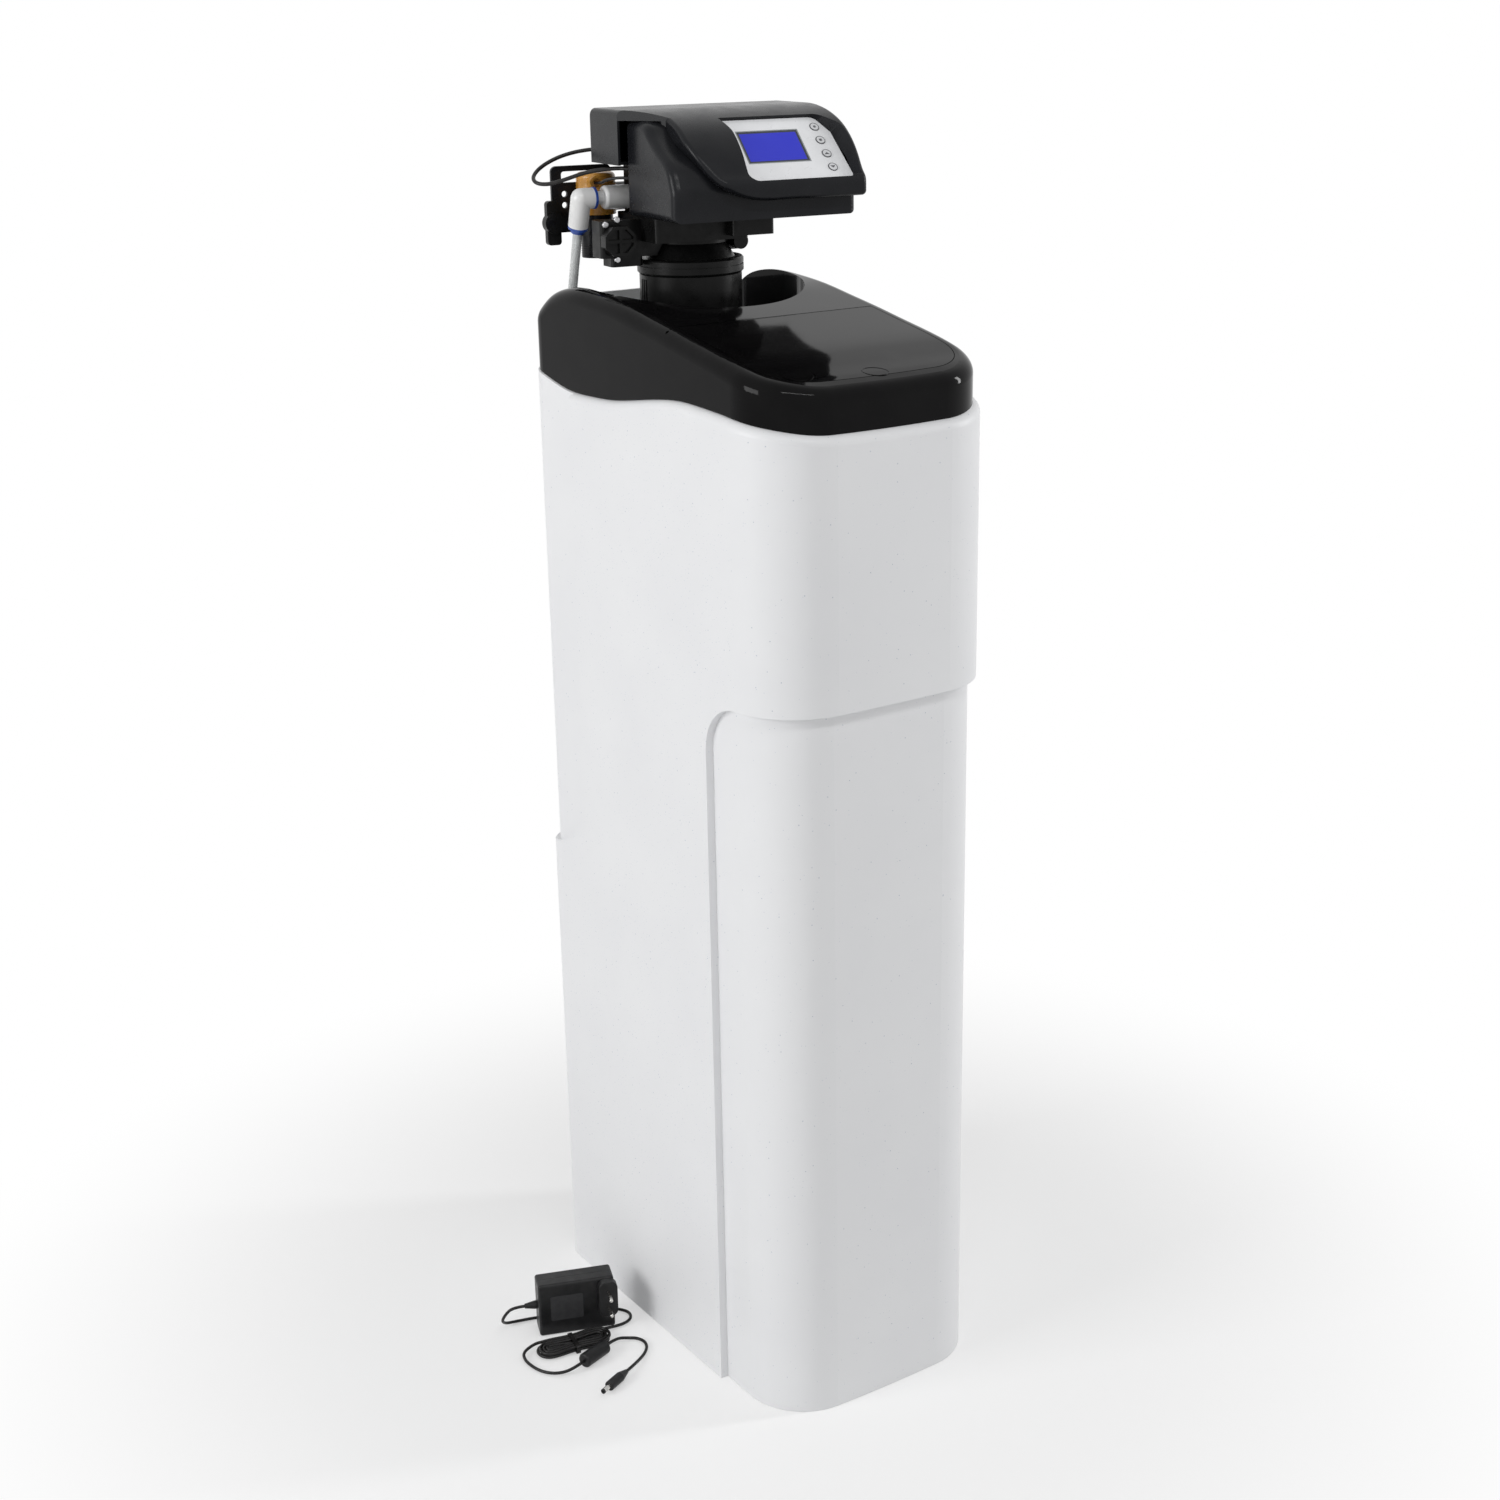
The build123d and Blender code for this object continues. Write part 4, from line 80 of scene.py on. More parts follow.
# Cords: radii, routes and the hank in millimetres, lengths of whole cords in metres
CORD_RADIUS = 1.7
RELIEF_LENGTH = 14.0
RELIEF_DEPTH = 14.0
RELIEF_Z = 33.0
HANK_HALF_RUN = 27.0
HANK_LAYER_GAP = 0.5
HANK_LAYER = 2 * CORD_RADIUS + HANK_LAYER_GAP
HANK_END_INNER = 2.8
HANK_WAIST_INNER = 1.0
HANK_TURNS_PER_LAYER = 3
HANK_LOW_Z = 2.9
HANK_LEAD = 3.4
OCTAGON_SHARE = math.tan(math.radians(22.5))
HANK_FAR_SHARE = 0.75
HANK_NEAR_SHARE = 0.25
HANK_CLIMB_SHARES = (0.3, 0.7)
CORD_STEPS = 10
CORD_SIDES = 5
FERRITE_LENGTH = 36.0
LOOP_CABLE_RADIUS = 2.0
SENSOR_CABLE_RADIUS = 1.5
TUBE_RADIUS = 4.75
LEAD_ROUTE = [
    (-285.5, 99.0, 25.0), (-287.5, 105.5, 13.5), (-280.0, 111.5, 4.8),
    (-266.5, 112.5, 1.9), (-248.0, 107.5, 1.8), (-227.0, 99.0, 1.8), (-205.0, 91.5, 1.8),
    (-183.0, 83.0, 1.8), (-164.0, 72.0, 1.8), (-153.5, 56.5, 1.8), (-159.0, 42.5, 2.2),
    (-173.0, 37.0, 2.9),
]
WIDE_LOOP_ROUTE = [
    (-290.5, 52.0, 4.0), (-294.8, 40.0, 2.2), (-293.5, 24.5, 1.8), (-289.5, 11.0, 1.8),
    (-281.0, -0.5, 2.3), (-270.0, -8.0, 4.6),
]
TAIL_ROUTE = [
    (-193.0, 12.0, 6.2), (-183.0, 12.0, 2.6), (-174.0, 7.0, 1.8), (-170.0, -3.0, 1.8),
    (-173.0, -14.0, 1.8), (-182.0, -23.5, 1.8), (-194.0, -32.0, 3.2),
]
LOOP_CABLE_ROUTE = [
    (-63.0, 62.0, 1250.0), (-63.0, 76.0, 1250.0), (-72.0, 86.0, 1249.0), (-88.0, 91.0, 1246.5),
    (-106.0, 92.0, 1241.5), (-124.0, 89.0, 1233.5), (-136.0, 80.0, 1225.0), (-136.5, 68.0, 1219.5),
    (-126.0, 58.0, 1219.0), (-112.0, 48.0, 1224.0), (-99.0, 38.0, 1229.5), (-86.0, 26.5, 1233.0),
    (-72.0, 16.5, 1234.5), (-63.0, 7.0, 1234.5), (-63.0, -8.0, 1234.5),
]
SENSOR_CABLE_ROUTE = [
    (-81.0, 48.05, 1219.0), (-81.0, 34.5, 1219.0), (-79.0, 25.0, 1223.0), (-72.0, 14.0, 1225.5),
    (-63.0, 2.0, 1225.5), (-63.0, -8.0, 1225.5),
]
TUBE_START = (-103.0, 45.59, 1171.84)
TUBE_NEXT = (-103.0, 54.87, 1144.89)
TUBE_ROUTE = [
    (-93.5, 194.0, 1112.0), (-94.0, 201.0, 1078.0), (-97.0, 201.5, 1040.0), (-105.0, 195.0, 1003.0),
    (-114.0, 180.0, 968.0), (-119.0, 152.0, 938.0), (-119.0, 114.0, 917.0), (-117.0, 78.0, 906.0),
    (-107.0, 50.0, 901.5), (-92.0, 33.0, 900.0), (-78.0, 20.0, 900.0), (-78.0, 3.0, 900.0),
]

# Thread crests on the ports, the oval on the lid and the bare label on the adapter, in millimetres
PORT_ACROSS = (-72.6, 76.0)
PORT_DEPTH = 66.8
PORT_END = 1144.0
PORT_RADIUS = 16.4
THREAD_START = 2.0
THREAD_PITCH = 2.3
THREAD_TURNS = 6
THREAD_CREST = 0.55
RING_STEPS = 48
RING_SIDES = 12
OVAL_PLACE = (-0.1, -196.3, 1066.8)
OVAL_AIM = (24.6, -6.8)
OVAL_SLOPE = 0.25
OVAL_LONG_HALF = 13.0
OVAL_SHORT_HALF = 9.5
OVAL_RIM = 0.45
LABEL_X = 31.0
LABEL_Z = 33.0
LABEL_WIDTH = 36.0
LABEL_HEIGHT = 30.0
LABEL_CORNER = 2.0
LABEL_STEPS = 6
LABEL_THICKNESS = 0.2

# Floor in metres, its looks, and the world's light
FLOOR_REACH = 30.0
FLOOR_DROP = 0.0005
FLOOR_LOOKS = {"Base Color": (0.93, 0.93, 0.93, 1.0), "Roughness": 0.9, "Specular IOR Level": 0.1}
SHADOW_REACH = 0.35
WHITE_REACH = 1.0
NEAR_WHITE_SHARE = 0.40
WORLD_STRENGTH = 0.40

# Noise values from and to which one colour or roughness turns into another
NARROW_NOISE = (0.35, 0.65)
WIDE_NOISE = (0.3, 0.7)

# Plain surfaces: name, slots, colour, second colour and its noise scale, roughness, roughness noise scale
# with low and high, bump noise scale with detail, height and strength, other shader inputs
PLAIN_SURFACES = (
    ("gloss_black", ("cover_black",), (0.0035, 0.0033, 0.0036), (0.005, 0.0048, 0.005), 30.0, 0.06,
     (40.0, 0.05, 0.09), (900.0, 2.0, 0.00001, 0.2), {"Specular IOR Level": 0.08}),
    ("satin_black", ("head_black",), (0.009, 0.0095, 0.0115), (0.012, 0.0125, 0.0145), 40.0, 0.27,
     (60.0, 0.24, 0.31), (1600.0, 2.0, 0.000004, 0.3), {"Specular IOR Level": 0.14}),
    ("moulded_black", ("valve_black", "lever_black"), (0.0045, 0.0045, 0.0045), (0.007, 0.007, 0.007), 55.0,
     0.30, (80.0, 0.24, 0.42), (500.0, 3.0, 0.0001, 0.4), {"Specular IOR Level": 0.16}),
    ("amber_plastic", ("amber",), (0.66, 0.33, 0.06), (0.56, 0.26, 0.04), 70.0, 0.28,
     (90.0, 0.22, 0.34), None, {"Transmission Weight": 0.12, "IOR": 1.5}),
    ("white_acetal", ("white_fitting", "gear_white"), (0.80, 0.80, 0.79), (0.76, 0.76, 0.76), 60.0, 0.30,
     (90.0, 0.24, 0.38), (600.0, 2.0, 0.00004, 0.4), {}),
    ("blue_collet", ("blue_collet",), (0.02, 0.06, 0.30), (0.03, 0.08, 0.36), 120.0, 0.28,
     (90.0, 0.22, 0.34), None, {}),
    ("clear_hose", ("tube_clear",), (0.78, 0.79, 0.79), (0.70, 0.72, 0.72), 30.0, 0.25,
     (70.0, 0.20, 0.32), None, {"Transmission Weight": 0.25, "IOR": 1.45}),
    ("green_board", ("board",), (0.01, 0.09, 0.03), (0.02, 0.14, 0.05), 160.0, 0.35,
     (200.0, 0.28, 0.45), None, {}),
    ("plain_steel", ("steel",), (0.56, 0.56, 0.57), (0.48, 0.48, 0.49), 260.0, 0.30,
     (220.0, 0.22, 0.40), (1400.0, 2.0, 0.00003, 0.4), {"Metallic": 1.0}),
    ("ground_ceramic", ("ceramic",), (0.72, 0.70, 0.66), (0.68, 0.66, 0.62), 200.0, 0.3,
     (300.0, 0.25, 0.4), None, {}),
    ("black_rubber", ("boot_black",), (0.012, 0.012, 0.012), (0.02, 0.02, 0.02), 90.0, 0.55,
     None, (420.0, 3.0, 0.0001, 0.5), {"Specular IOR Level": 0.35}),
    ("grey_pipe", ("pipe_grey",), (0.58, 0.59, 0.60), (0.53, 0.54, 0.55), 60.0, 0.38,
     (90.0, 0.32, 0.46), None, {}),
    ("cable_sheath", ("cable_grey", "cord_black"), (0.008, 0.0075, 0.0075), (0.016, 0.015, 0.015), 120.0,
     0.34, (160.0, 0.28, 0.42), None, {"Specular IOR Level": 0.28}),
    ("adapter_case", ("adapter_black",), (0.007, 0.007, 0.0075), (0.014, 0.014, 0.015), 80.0, 0.38,
     (150.0, 0.32, 0.46), (1500.0, 3.0, 0.00006, 0.6), {"Specular IOR Level": 0.28}),
    ("bare_label", ("label",), (0.022, 0.022, 0.024), (0.030, 0.030, 0.032), 140.0, 0.5,
     None, (900.0, 2.0, 0.00002, 0.4), {"Specular IOR Level": 0.4}),
    ("nickel", ("pin_metal",), (0.66, 0.65, 0.62), (0.58, 0.57, 0.55), 300.0, 0.2,
     (300.0, 0.14, 0.28), None, {"Metallic": 1.0}),
)

# The cabinet's specks: cells per metre, size in cells, share of cells with a speck, colour
SPECKS = ((120.0, 0.07, 0.45, (0.50, 0.54, 0.60)), (260.0, 0.10, 0.22, (0.58, 0.62, 0.68)))

# Lamps: name, place, target, width and height in metres, power in watts
LAMPS = (
    ("key", (-3.8, 0.3, 1.9), (0.0, 0.0, 0.8), 1.6, 1.6, 66.0),
    ("edge", (3.2, -1.5, 1.9), (0.0, 0.0, 1.0), 0.35, 1.8, 44.0),
    ("top", (-0.5, -1.7, 2.9), (0.0, 0.0, 1.1), 1.8, 0.10, 14.0),
)


def make_camera():
    """The photograph's camera."""
    data = bpy.data.cameras.new("camera")
    data.lens = LENS
    data.sensor_width = SENSOR
    data.clip_start, data.clip_end = CLIP
    camera = bpy.data.objects.new("camera", data)
    bpy.context.scene.collection.objects.link(camera)
    aim = Matrix.Rotation(-YAW, 4, "Z") @ Matrix.Rotation(math.pi / 2 - PITCH, 4, "X")
    camera.matrix_world = Matrix.Translation(EYE) @ aim @ Matrix.Rotation(ROLL, 4, "Z")
    bpy.context.scene.camera = camera


def placed(frame_matrix, points):
    """Points of a frame in world millimetres."""
    return [tuple(frame_matrix @ Vector(point)) for point in points]


def cord_curve(name, route, radius):
    """A round cord along a smooth spline whose control points are the route, given in millimetres."""
    data = bpy.data.curves.new(name, "CURVE")
    data.dimensions = "3D"
    data.resolution_u = CORD_STEPS
    data.bevel_depth = 1.0
    data.bevel_resolution = CORD_SIDES
    data.use_fill_caps = True
    spline = data.splines.new("NURBS")
    spline.points.add(len(route) - 1)
    for point, place in zip(spline.points, route):
        point.co = (place[0] * MM, place[1] * MM, place[2] * MM, 1.0)
        point.radius = radius * MM
    spline.order_u = 3
    spline.use_endpoint_u = True
    curve = bpy.data.objects.new(name, data)
    bpy.context.scene.collection.objects.link(curve)
    return curve


def hank_route():
    """Control points of the hank: six loops in two layers, drawn in at the waist."""
    step = HANK_LAYER / 2
    count = 2 * HANK_TURNS_PER_LAYER
    order = [count - index for index in range(count)] + [index for index in range(count + 1)]
    points = []
    for index, k in enumerate(order):
        side = 1 if index % 2 == 0 else -1
        end_y = side * (HANK_END_INNER + k * step)
        waist_y = side * (HANK_WAIST_INNER + k * step)
        z_in = HANK_LOW_Z if index <= count else HANK_LOW_Z + HANK_LAYER
        z_out = HANK_LOW_Z if index < count else HANK_LOW_Z + HANK_LAYER
        rise = z_out - z_in
        far, near = HANK_FAR_SHARE * HANK_HALF_RUN, HANK_NEAR_SHARE * HANK_HALF_RUN
        points += [
            (side * far, end_y, z_in),
            (side * near, waist_y, z_in + HANK_CLIMB_SHARES[0] * rise),
            (-side * near, waist_y, z_in + HANK_CLIMB_SHARES[1] * rise),
            (-side * far, end_y, z_out),
        ]
        if index < len(order) - 1:
            next_y = -side * (HANK_END_INNER + order[index + 1] * step)
            middle = (end_y + next_y) / 2
            turn = (end_y - next_y) / 2
            half_side = OCTAGON_SHARE * abs(turn)
            before_turn = HANK_HALF_RUN - half_side
            near_turn = HANK_HALF_RUN + half_side
            far_turn = HANK_HALF_RUN + abs(turn)
            fold = [
                (-side * near_turn, end_y, z_out),
                (-side * far_turn, middle + OCTAGON_SHARE * turn, z_out),
                (-side * far_turn, middle - OCTAGON_SHARE * turn, z_out),
                (-side * near_turn, next_y, z_out),
            ]
            if before_turn > far + half_side:
                fold = [(-side * before_turn, end_y, z_out), *fold, (-side * before_turn, next_y, z_out)]
            points += fold
    return points


def adapter_cord_route():
    """The whole adapter cord: relief, lead, hank, wide loop, noise filter, tail and plug."""
    layer_z = HANK_LOW_Z + HANK_LAYER
    outer_y = HANK_END_INNER + HANK_TURNS_PER_LAYER * HANK_LAYER
    half = FERRITE_LENGTH / 2
    route = placed(ADAPTER, [
        (-RELIEF_LENGTH, RELIEF_DEPTH, RELIEF_Z), (-RELIEF_LENGTH - 4 * HANK_LEAD, RELIEF_DEPTH, RELIEF_Z),
    ])
    route += LEAD_ROUTE
    route += placed(HANK, [
        (HANK_HALF_RUN + 5 * HANK_LEAD, outer_y, HANK_LOW_Z),
        (HANK_HALF_RUN + HANK_LEAD, outer_y, HANK_LOW_Z),
        *hank_route(),
        (-HANK_HALF_RUN - HANK_LEAD, outer_y, layer_z), (-HANK_HALF_RUN - 4 * HANK_LEAD, outer_y, layer_z),
    ])
    route += WIDE_LOOP_ROUTE
    reach = half + 3 * HANK_LEAD
    route += placed(FERRITE, [(-reach, 0, 0), (-half, 0, 0), (half, 0, 0), (reach, 0, 0)])
    route += TAIL_ROUTE
    route += placed(PLUG, [(-3 * HANK_LEAD, 0, 0), (0, 0, 0)])
    return route


def make_cords():
    """The adapter's cord, the brine tube and the two cables on the head."""
    route = adapter_cord_route()
    adapter_cord = cord_curve("adapter_cord", route, CORD_RADIUS)
    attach(adapter_cord, "cabinet")
    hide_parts("cord_lead", "cord_hank", "cord_wide_loop", "cord_tail")
    tube_points = placed(HEAD, [TUBE_START, TUBE_NEXT]) + TUBE_ROUTE
    tube = cord_curve("brine_hose", tube_points, TUBE_RADIUS)
    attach(tube, "cabinet")
    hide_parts("brine_tube")
    loop_points = placed(HEAD, LOOP_CABLE_ROUTE)
    loop = cord_curve("loop_cord", loop_points, LOOP_CABLE_RADIUS)
    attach(loop, "cabinet")
    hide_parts("head_cables")
    sensor_points = placed(HEAD, SENSOR_CABLE_ROUTE)
    sensor = cord_curve("sensor_cord", sensor_points, SENSOR_CABLE_RADIUS)
    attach(sensor, "cabinet")
    return {"adapter": adapter_cord, "tube": tube, "loop": loop, "sensor": sensor}


def feed(tree, socket, value):
    """Links a socket to another node's output, or sets it to a number or vector."""
    if isinstance(value, bpy.types.NodeSocket):
        tree.links.new(value, socket)
    else:
        socket.default_value = value


def math_node(tree, operation, first, second=0.0):
    """A math node's value."""
    made = tree.nodes.new("ShaderNodeMath")
    made.operation = operation
    feed(tree, made.inputs[0], first)
    feed(tree, made.inputs[1], second)
    return made.outputs[0]


def mix_shaders(tree, share, first, second, target):
    """Feeds a target with the first shader, and with the second by a share."""
    mix = tree.nodes.new("ShaderNodeMixShader")
    for socket, value in zip(mix.inputs, (share, first, second)):
        tree.links.new(value, socket)
    tree.links.new(mix.outputs[0], target)


class Surface:
    """A procedural material built on the Principled shader."""

    def __init__(self, name, color, roughness, inputs):
        self.material = bpy.data.materials.new(name)
        self.material.use_nodes = True
        self.tree = self.material.node_tree
        self.shader = self.tree.nodes["Principled BSDF"]
        self.shader.inputs["Base Color"].default_value = (*color, 1.0)
        self.shader.inputs["Roughness"].default_value = roughness
        for key, value in inputs.items():
            self.shader.inputs[key].default_value = value
        self.coordinates = self.tree.nodes.new("ShaderNodeTexCoord").outputs["Object"]
        self.color = color
        self.base = None
        self.height = None

    def node(self, kind, **inputs):
        """A node with its inputs set or linked."""
        made = self.tree.nodes.new(kind)
        for key, value in inputs.items():
            feed(self.tree, made.inputs[key], value)
        return made

    def math(self, operation, first, second=0.0):
        """A math node's value."""
        return math_node(self.tree, operation, first, second)

    def vector_math(self, operation, first, second, output):
        """A vector math node's output."""
        made = self.tree.nodes.new("ShaderNodeVectorMath")
        made.operation = operation
        feed(self.tree, made.inputs[0], first)
        feed(self.tree, made.inputs[1], second)
        return made.outputs[output]

    def spread(self, value, low, high, to_low, to_high):
        """A value mapped from one range to another."""
        made = self.tree.nodes.new("ShaderNodeMapRange")
        self.tree.links.new(value, made.inputs["Value"])
        for key, number in (("From Min", low), ("From Max", high), ("To Min", to_low), ("To Max", to_high)):
            made.inputs[key].default_value = number
        return made.outputs["Result"]

    def noise(self, scale, detail=3.0):
        """A noise value at a scale in cycles per metre."""
        made = self.node("ShaderNodeTexNoise", Vector=self.coordinates, Scale=scale, Detail=detail)
        return made.outputs["Fac"]

    def along(self, origin, direction):
        """Place along a direction from an origin, both in millimetres."""
        moved = self.vector_math("SUBTRACT", self.coordinates, origin * MM, "Vector")
        return self.vector_math("DOT_PRODUCT", moved, direction / MM, "Value")

    def blotch(self, other, scale, shares=NARROW_NOISE, detail=3.0):
        """Mixes the base colour towards another where a noise is high."""
        mask = self.spread(self.noise(scale, detail), *shares, 0.0, 1.0)
        self.paint(other, mask)

    def paint(self, other, mask):
        """Mixes the base colour towards another by a mask."""
        mix = self.tree.nodes.new("ShaderNodeMix")
        mix.data_type = "RGBA"
        self.tree.links.new(mask, mix.inputs["Factor"])
        base_socket, other_socket, result = mix.inputs[6], mix.inputs[7], mix.outputs[2]
        feed(self.tree, base_socket, (*self.color, 1.0) if self.base is None else self.base)
        other_socket.default_value = (*other, 1.0)
        self.base = result
        self.tree.links.new(self.base, self.shader.inputs["Base Color"])

    def vary_roughness(self, scale, low, high):
        """Roughness that varies with a noise."""
        value = self.spread(self.noise(scale, 4.0), *WIDE_NOISE, low, high)
        self.tree.links.new(value, self.shader.inputs["Roughness"])

    def bump(self, value, distance, strength):
        """Adds a bump whose height is a value of 0 to 1 times a distance in metres."""
        made = self.node("ShaderNodeBump", Height=value, Distance=distance, Strength=strength)
        if self.height is not None:
            self.tree.links.new(self.height, made.inputs["Normal"])
        self.height = made.outputs["Normal"]
        self.tree.links.new(self.height, self.shader.inputs["Normal"])

    def specks(self, scale, size, share, other):
        """Sparse specks of another colour, one in some of the cells of a fine grid."""
        cells = self.node("ShaderNodeTexVoronoi", Vector=self.coordinates, Scale=scale, Randomness=1.0)
        near = self.math("LESS_THAN", cells.outputs["Distance"], size)
        split = self.tree.nodes.new("ShaderNodeSeparateColor")
        self.tree.links.new(cells.outputs["Color"], split.inputs[0])
        chosen = self.math("LESS_THAN", split.outputs[0], share)
        self.paint(other, self.math("MULTIPLY", near, chosen))


def plain_surface(name, color, other, scale, roughness, vary, grain, inputs):
    """A surface with a second colour, uneven roughness and a fine grain, where they are given."""
    made = Surface(name, color, roughness, inputs)
    made.blotch(other, scale)
    if vary:
        made.vary_roughness(*vary)
    if grain:
        grain_scale, detail, distance, strength = grain
        made.bump(made.noise(grain_scale, detail), distance, strength)
    return made


def cabinet_surface():
    """White plastic with fine grey specks and a slightly uneven face."""
    white = Surface("speckled_white", (0.82, 0.825, 0.835), 0.40, {"Specular IOR Level": 0.35})
    white.blotch((0.79, 0.795, 0.81), 7.0, WIDE_NOISE, 4.0)
    for speck in SPECKS:
        white.specks(*speck)
    white.vary_roughness(60.0, 0.36, 0.46)
    white.bump(white.noise(700.0, 2.0), 0.00005, 0.4)
    white.bump(white.noise(9.0, 2.0), 0.0008, 0.08)
    return white


def tank_surface():
    """Wound glass fibre in bands round the tank."""
    wound = Surface("wound_fibre", (0.36, 0.40, 0.38), 0.4, {})
    wave = wound.node("ShaderNodeTexWave", Vector=wound.coordinates, Scale=38.0, Distortion=2.5, Detail=2.0)
    wave.bands_direction = "Z"
    wound.paint((0.28, 0.31, 0.30), wave.outputs["Fac"])
    wound.bump(wave.outputs["Fac"], 0.0003, 0.6)
    return wound


def resin_surface():
    """Amber beads under a millimetre across."""
    resin = Surface("resin_beads", (0.34, 0.17, 0.05), 0.4, {})
    beads = resin.node("ShaderNodeTexVoronoi", Vector=resin.coordinates, Scale=900.0)
    resin.bump(beads.outputs["Distance"], 0.0003, 0.8)
    resin.blotch((0.24, 0.11, 0.03), 500.0)
    return resin


def panel_places(surface):
    """Places along the display panel's width and height, in millimetres from its middle."""
    turned = HEAD.to_3x3()
    origin = HEAD @ Vector(PANEL_ORIGIN)
    right = turned @ Vector((1.0, 0.0, 0.0))
    up = turned @ Vector((0.0, math.cos(PANEL_LEAN), math.sin(PANEL_LEAN)))
    return surface.along(origin, right), surface.along(origin, up)


def past_rectangle(surface, across, upward, half_width, half_height):
    """How far a place lies outside a rectangle about the panel's middle, in millimetres, negative inside."""
    past_side = surface.math("SUBTRACT", surface.math("ABSOLUTE", across), half_width)
    past_top = surface.math("SUBTRACT", surface.math("ABSOLUTE", upward), half_height)
    return surface.math("MAXIMUM", past_side, past_top)


def panel_surface():
    """Pale silver paint with a dark line round the display and a fine grain."""
    silver = Surface("silver_panel", (0.90, 0.91, 0.93), 0.32, {"Metallic": 0.05})
    silver.blotch((0.87, 0.88, 0.90), 90.0)
    across, upward = panel_places(silver)
    outside = past_rectangle(silver, across, upward, LCD_HALF_WIDTH, LCD_HALF_HEIGHT)
    silver.paint((0.30, 0.32, 0.33), silver.math("LESS_THAN", outside, LCD_LIP))
    silver.vary_roughness(120.0, 0.26, 0.38)
    silver.bump(silver.noise(2200.0, 2.0), 0.00002, 0.4)
    return silver


def lcd_surface():
    """Violet-blue display with a dark border and a faint grid of cells."""
    lit = Surface("blue_display", (0.034, 0.044, 0.68), 0.10, {"Specular IOR Level": 0.2})
    lit.blotch((0.044, 0.056, 0.72), 22.0, WIDE_NOISE, 1.0)
    across, upward = panel_places(lit)
    cell = lit.math("MAXIMUM", lit.math("PINGPONG", across, CELL), lit.math("PINGPONG", upward, CELL))
    lit.paint((0.030, 0.038, 0.60), lit.math("GREATER_THAN", cell, CELL_EDGE_SHARE * CELL))
    border = past_rectangle(lit, across, upward, LCD_HALF_WIDTH - LCD_BORDER, LCD_HALF_HEIGHT - LCD_BORDER)
    lit.paint((0.055, 0.060, 0.075), lit.math("GREATER_THAN", border, 0.0))
    lit.vary_roughness(60.0, 0.07, 0.13)
    return lit


def button_surface():
    """Pale button cap with a dark ring at its edge and a small mark: dot, square, and arrows up and down."""
    pale = Surface("pale_button", (0.80, 0.81, 0.83), 0.36, {})
    pale.blotch((0.76, 0.77, 0.79), 200.0)
    across, upward = panel_places(pale)
    side = pale.math("SUBTRACT", across, BUTTON_U)
    width = pale.math("ABSOLUTE", side)
    for index in range(BUTTON_COUNT):
        rise = pale.math("SUBTRACT", upward, BUTTON_TOP_V - index * BUTTON_PITCH)
        height = pale.math("ABSOLUTE", rise)
        near = pale.math("LESS_THAN", height, BUTTON_PITCH / 2)
        square_sum = pale.math("ADD", pale.math("POWER", width, 2.0), pale.math("POWER", height, 2.0))
        away = pale.math("SQRT", square_sum)
        ring = pale.math("GREATER_THAN", away, BUTTON_RADIUS - BUTTON_RING)
        if index == 0:
            mark = pale.math("LESS_THAN", away, BUTTON_MARK)
        elif index == 1:
            mark = pale.math("LESS_THAN", pale.math("MAXIMUM", width, height), BUTTON_MARK)
        else:
            pointed = pale.math("MULTIPLY", rise, 1.0 if index == 2 else -1.0)
            slope = pale.math("LESS_THAN", pale.math("ADD", width, pointed), BUTTON_MARK)
            mark = pale.math("MULTIPLY", slope, pale.math("GREATER_THAN", pointed, -BUTTON_MARK))
        shown = pale.math("MULTIPLY", near, pale.math("MAXIMUM", ring, mark))
        pale.paint((0.10, 0.10, 0.11), shown)
    pale.vary_roughness(150.0, 0.30, 0.42)
    return pale


def make_surfaces():
    """Every material, by the record's slot."""
    made = {
        "cabinet": cabinet_surface(), "tank_shell": tank_surface(), "resin": resin_surface(),
        "panel_silver": panel_surface(), "lcd": lcd_surface(), "button_grey": button_surface(),
    }
    for name, slots, *looks in PLAIN_SURFACES:
        surface = plain_surface(name, *looks)
        made.update({slot: surface for slot in slots})
    return made


def dress(surfaces, cords):
    """Gives every node and cord its material, by the record's slots."""
    for row in frame["record"]["subparts"]:
        mesh = nodes[row["node"]].data
        mesh.materials.clear()
        mesh.materials.append(surfaces[row["material_slot"]].material)
    names = {"adapter": "cord_black", "tube": "tube_clear", "loop": "cable_grey", "sensor": "cable_grey"}
    for key, slot_name in names.items():
        cords[key].data.materials.append(surfaces[slot_name].material)


def direct_ray(tree):
    """1 for what the camera, a gloss or a glass sees directly, else 0."""
    path = tree.nodes.new("ShaderNodeLightPath")
    total = path.outputs["Is Camera Ray"]
    for name in ("Is Glossy Ray", "Is Transmission Ray"):
        total = math_node(tree, "MAXIMUM", total, path.outputs[name])
    return total


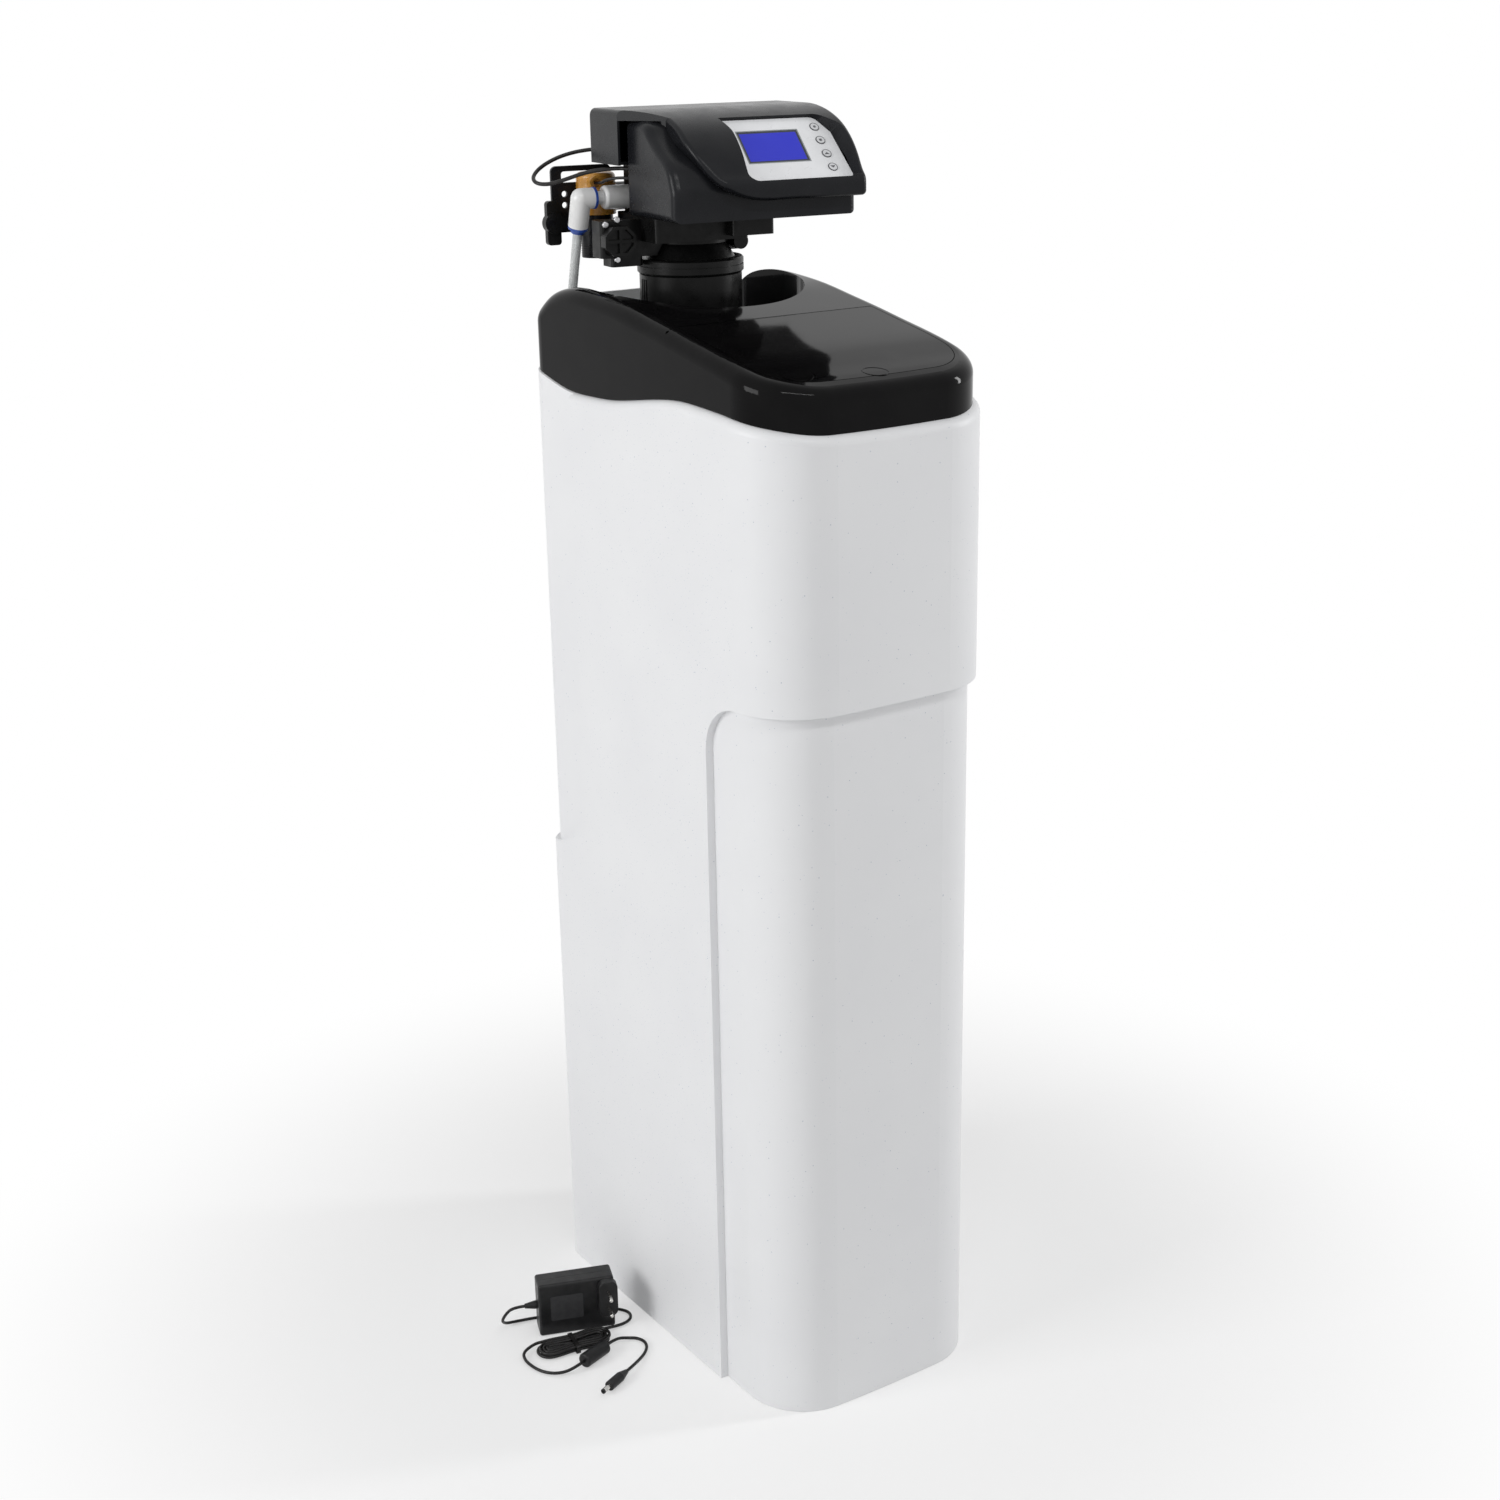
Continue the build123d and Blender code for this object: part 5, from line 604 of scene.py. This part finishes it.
def make_floor():
    """A plain pale floor that keeps the object's shadow and turns white further away."""
    mesh = bpy.data.meshes.new("floor")
    corners = [(-FLOOR_REACH, -FLOOR_REACH, 0), (FLOOR_REACH, -FLOOR_REACH, 0),
               (FLOOR_REACH, FLOOR_REACH, 0), (-FLOOR_REACH, FLOOR_REACH, 0)]
    mesh.from_pydata(corners, [], [(0, 1, 2, 3)])
    floor = bpy.data.objects.new("floor", mesh)
    floor.location.z = -FLOOR_DROP
    bpy.context.scene.collection.objects.link(floor)
    pale = bpy.data.materials.new("pale_floor")
    pale.use_nodes = True
    tree = pale.node_tree
    shader = tree.nodes["Principled BSDF"]
    for key, value in FLOOR_LOOKS.items():
        shader.inputs[key].default_value = value
    white = tree.nodes.new("ShaderNodeEmission")
    place = tree.nodes.new("ShaderNodeTexCoord").outputs["Object"]
    away = tree.nodes.new("ShaderNodeVectorMath")
    away.operation = "LENGTH"
    tree.links.new(place, away.inputs[0])
    fade = tree.nodes.new("ShaderNodeMapRange")
    fade.interpolation_type = "SMOOTHSTEP"
    tree.links.new(away.outputs["Value"], fade.inputs["Value"])
    for key, number in (("From Min", SHADOW_REACH), ("From Max", WHITE_REACH), ("To Min", NEAR_WHITE_SHARE)):
        fade.inputs[key].default_value = number
    seen = math_node(tree, "MULTIPLY", fade.outputs["Result"], direct_ray(tree))
    target = tree.nodes["Material Output"].inputs["Surface"]
    mix_shaders(tree, seen, shader.outputs[0], white.outputs[0], target)
    mesh.materials.append(pale)


def make_world():
    """A soft even world, white where it is seen."""
    world = bpy.data.worlds.new("studio")
    world.use_nodes = True
    bpy.context.scene.world = world
    tree = world.node_tree
    background = tree.nodes["Background"]
    seen = tree.nodes.new("ShaderNodeBackground")
    for shader, strength in ((background, WORLD_STRENGTH), (seen, 1.0)):
        shader.inputs["Color"].default_value = (1.0, 1.0, 1.0, 1.0)
        shader.inputs["Strength"].default_value = strength
    target = tree.nodes["World Output"].inputs["Surface"]
    mix_shaders(tree, direct_ray(tree), background.outputs[0], seen.outputs[0], target)


def area_light(name, place, target, width, height, power):
    """A soft rectangular lamp that points at a target."""
    data = bpy.data.lights.new(name, "AREA")
    data.shape = "RECTANGLE"
    data.size = width
    data.size_y = height
    data.energy = power
    lamp = bpy.data.objects.new(name, data)
    lamp.location = place
    lamp.rotation_euler = (Vector(target) - Vector(place)).to_track_quat("-Z", "Y").to_euler()
    bpy.context.scene.collection.objects.link(lamp)


def make_lights():
    """Key from the left, an upright strip from the right and a thin strip above the front."""
    for lamp in LAMPS:
        area_light(*lamp)


def ring_mesh(name, minor, places):
    """A mesh of closed oval rings: each place is its frame and half axes, in millimetres."""
    points, faces = [], []
    for place, long_half, short_half in places:
        first = len(points)
        for i in range(RING_STEPS):
            turn = 2 * math.pi * i / RING_STEPS
            for j in range(RING_SIDES):
                roll = 2 * math.pi * j / RING_SIDES
                out = minor * math.cos(roll)
                x, y = (long_half + out) * math.cos(turn), (short_half + out) * math.sin(turn)
                points.append(tuple((place @ Vector((x, y, minor * math.sin(roll)))) * MM))
        for i in range(RING_STEPS):
            for j in range(RING_SIDES):
                ahead, up = (i + 1) % RING_STEPS, (j + 1) % RING_SIDES
                faces.append((first + i * RING_SIDES + j, first + ahead * RING_SIDES + j,
                              first + ahead * RING_SIDES + up, first + i * RING_SIDES + up))
    mesh = bpy.data.meshes.new(name)
    mesh.from_pydata(points, [], faces)
    mesh.shade_smooth()
    return mesh


def add_piece(mesh, body, surface):
    """A piece of the scene that rides a body."""
    piece = bpy.data.objects.new(mesh.name, mesh)
    bpy.context.scene.collection.objects.link(piece)
    mesh.materials.append(surface.material)
    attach(piece, body)


def add_port_threads(surfaces):
    """Thread crests on the outlet and inlet ends."""
    places = []
    for across in PORT_ACROSS:
        for index in range(THREAD_TURNS):
            height = PORT_END + THREAD_START + index * THREAD_PITCH
            places.append((HEAD @ Matrix.Translation((across, PORT_DEPTH, height)), PORT_RADIUS, PORT_RADIUS))
    mesh = ring_mesh("port_threads", THREAD_CREST, places)
    add_piece(mesh, "cabinet", surfaces["valve_black"])


def add_lid_oval(surfaces):
    """A thin raised oval near the lid's front edge, lying on its slope."""
    up = Vector((0.0, -OVAL_SLOPE, 1.0)).normalized()
    along = Vector((OVAL_AIM[0], OVAL_AIM[1], OVAL_SLOPE * OVAL_AIM[1])).normalized()
    across = up.cross(along)
    turn = Matrix((along, across, up)).transposed().to_4x4()
    places = [(Matrix.Translation(OVAL_PLACE) @ turn, OVAL_LONG_HALF, OVAL_SHORT_HALF)]
    mesh = ring_mesh("lid_oval", OVAL_RIM, places)
    add_piece(mesh, "salt_lid", surfaces["cover_black"])


def add_adapter_label(surfaces):
    """A bare label with round corners on the adapter's face."""
    points = []
    for corner in range(4):
        middle_x = (LABEL_WIDTH / 2 - LABEL_CORNER) * (1 if corner in (0, 3) else -1)
        middle_z = (LABEL_HEIGHT / 2 - LABEL_CORNER) * (1 if corner in (0, 1) else -1)
        for index in range(LABEL_STEPS + 1):
            turn = math.pi / 2 * (corner + index / LABEL_STEPS)
            x, z = middle_x + LABEL_CORNER * math.cos(turn), middle_z + LABEL_CORNER * math.sin(turn)
            points.append((x, z))
    count = len(points)
    places = []
    for depth in (0.0, -LABEL_THICKNESS):
        for x, z in points:
            place = ADAPTER @ Vector((LABEL_X + x, depth, LABEL_Z + z))
            places.append(tuple(place * MM))
    faces = [tuple(range(count - 1, -1, -1)), tuple(range(count, 2 * count))]
    faces += [(i, (i + 1) % count, count + (i + 1) % count, count + i) for i in range(count)]
    mesh = bpy.data.meshes.new("adapter_label")
    mesh.from_pydata(places, [], faces)
    add_piece(mesh, "cabinet", surfaces["label"])


bpy.context.scene.view_settings.view_transform = "Standard"
make_camera()
all_cords = make_cords()
all_surfaces = make_surfaces()
dress(all_surfaces, all_cords)
add_port_threads(all_surfaces)
add_lid_oval(all_surfaces)
add_adapter_label(all_surfaces)
make_floor()
make_world()
make_lights()
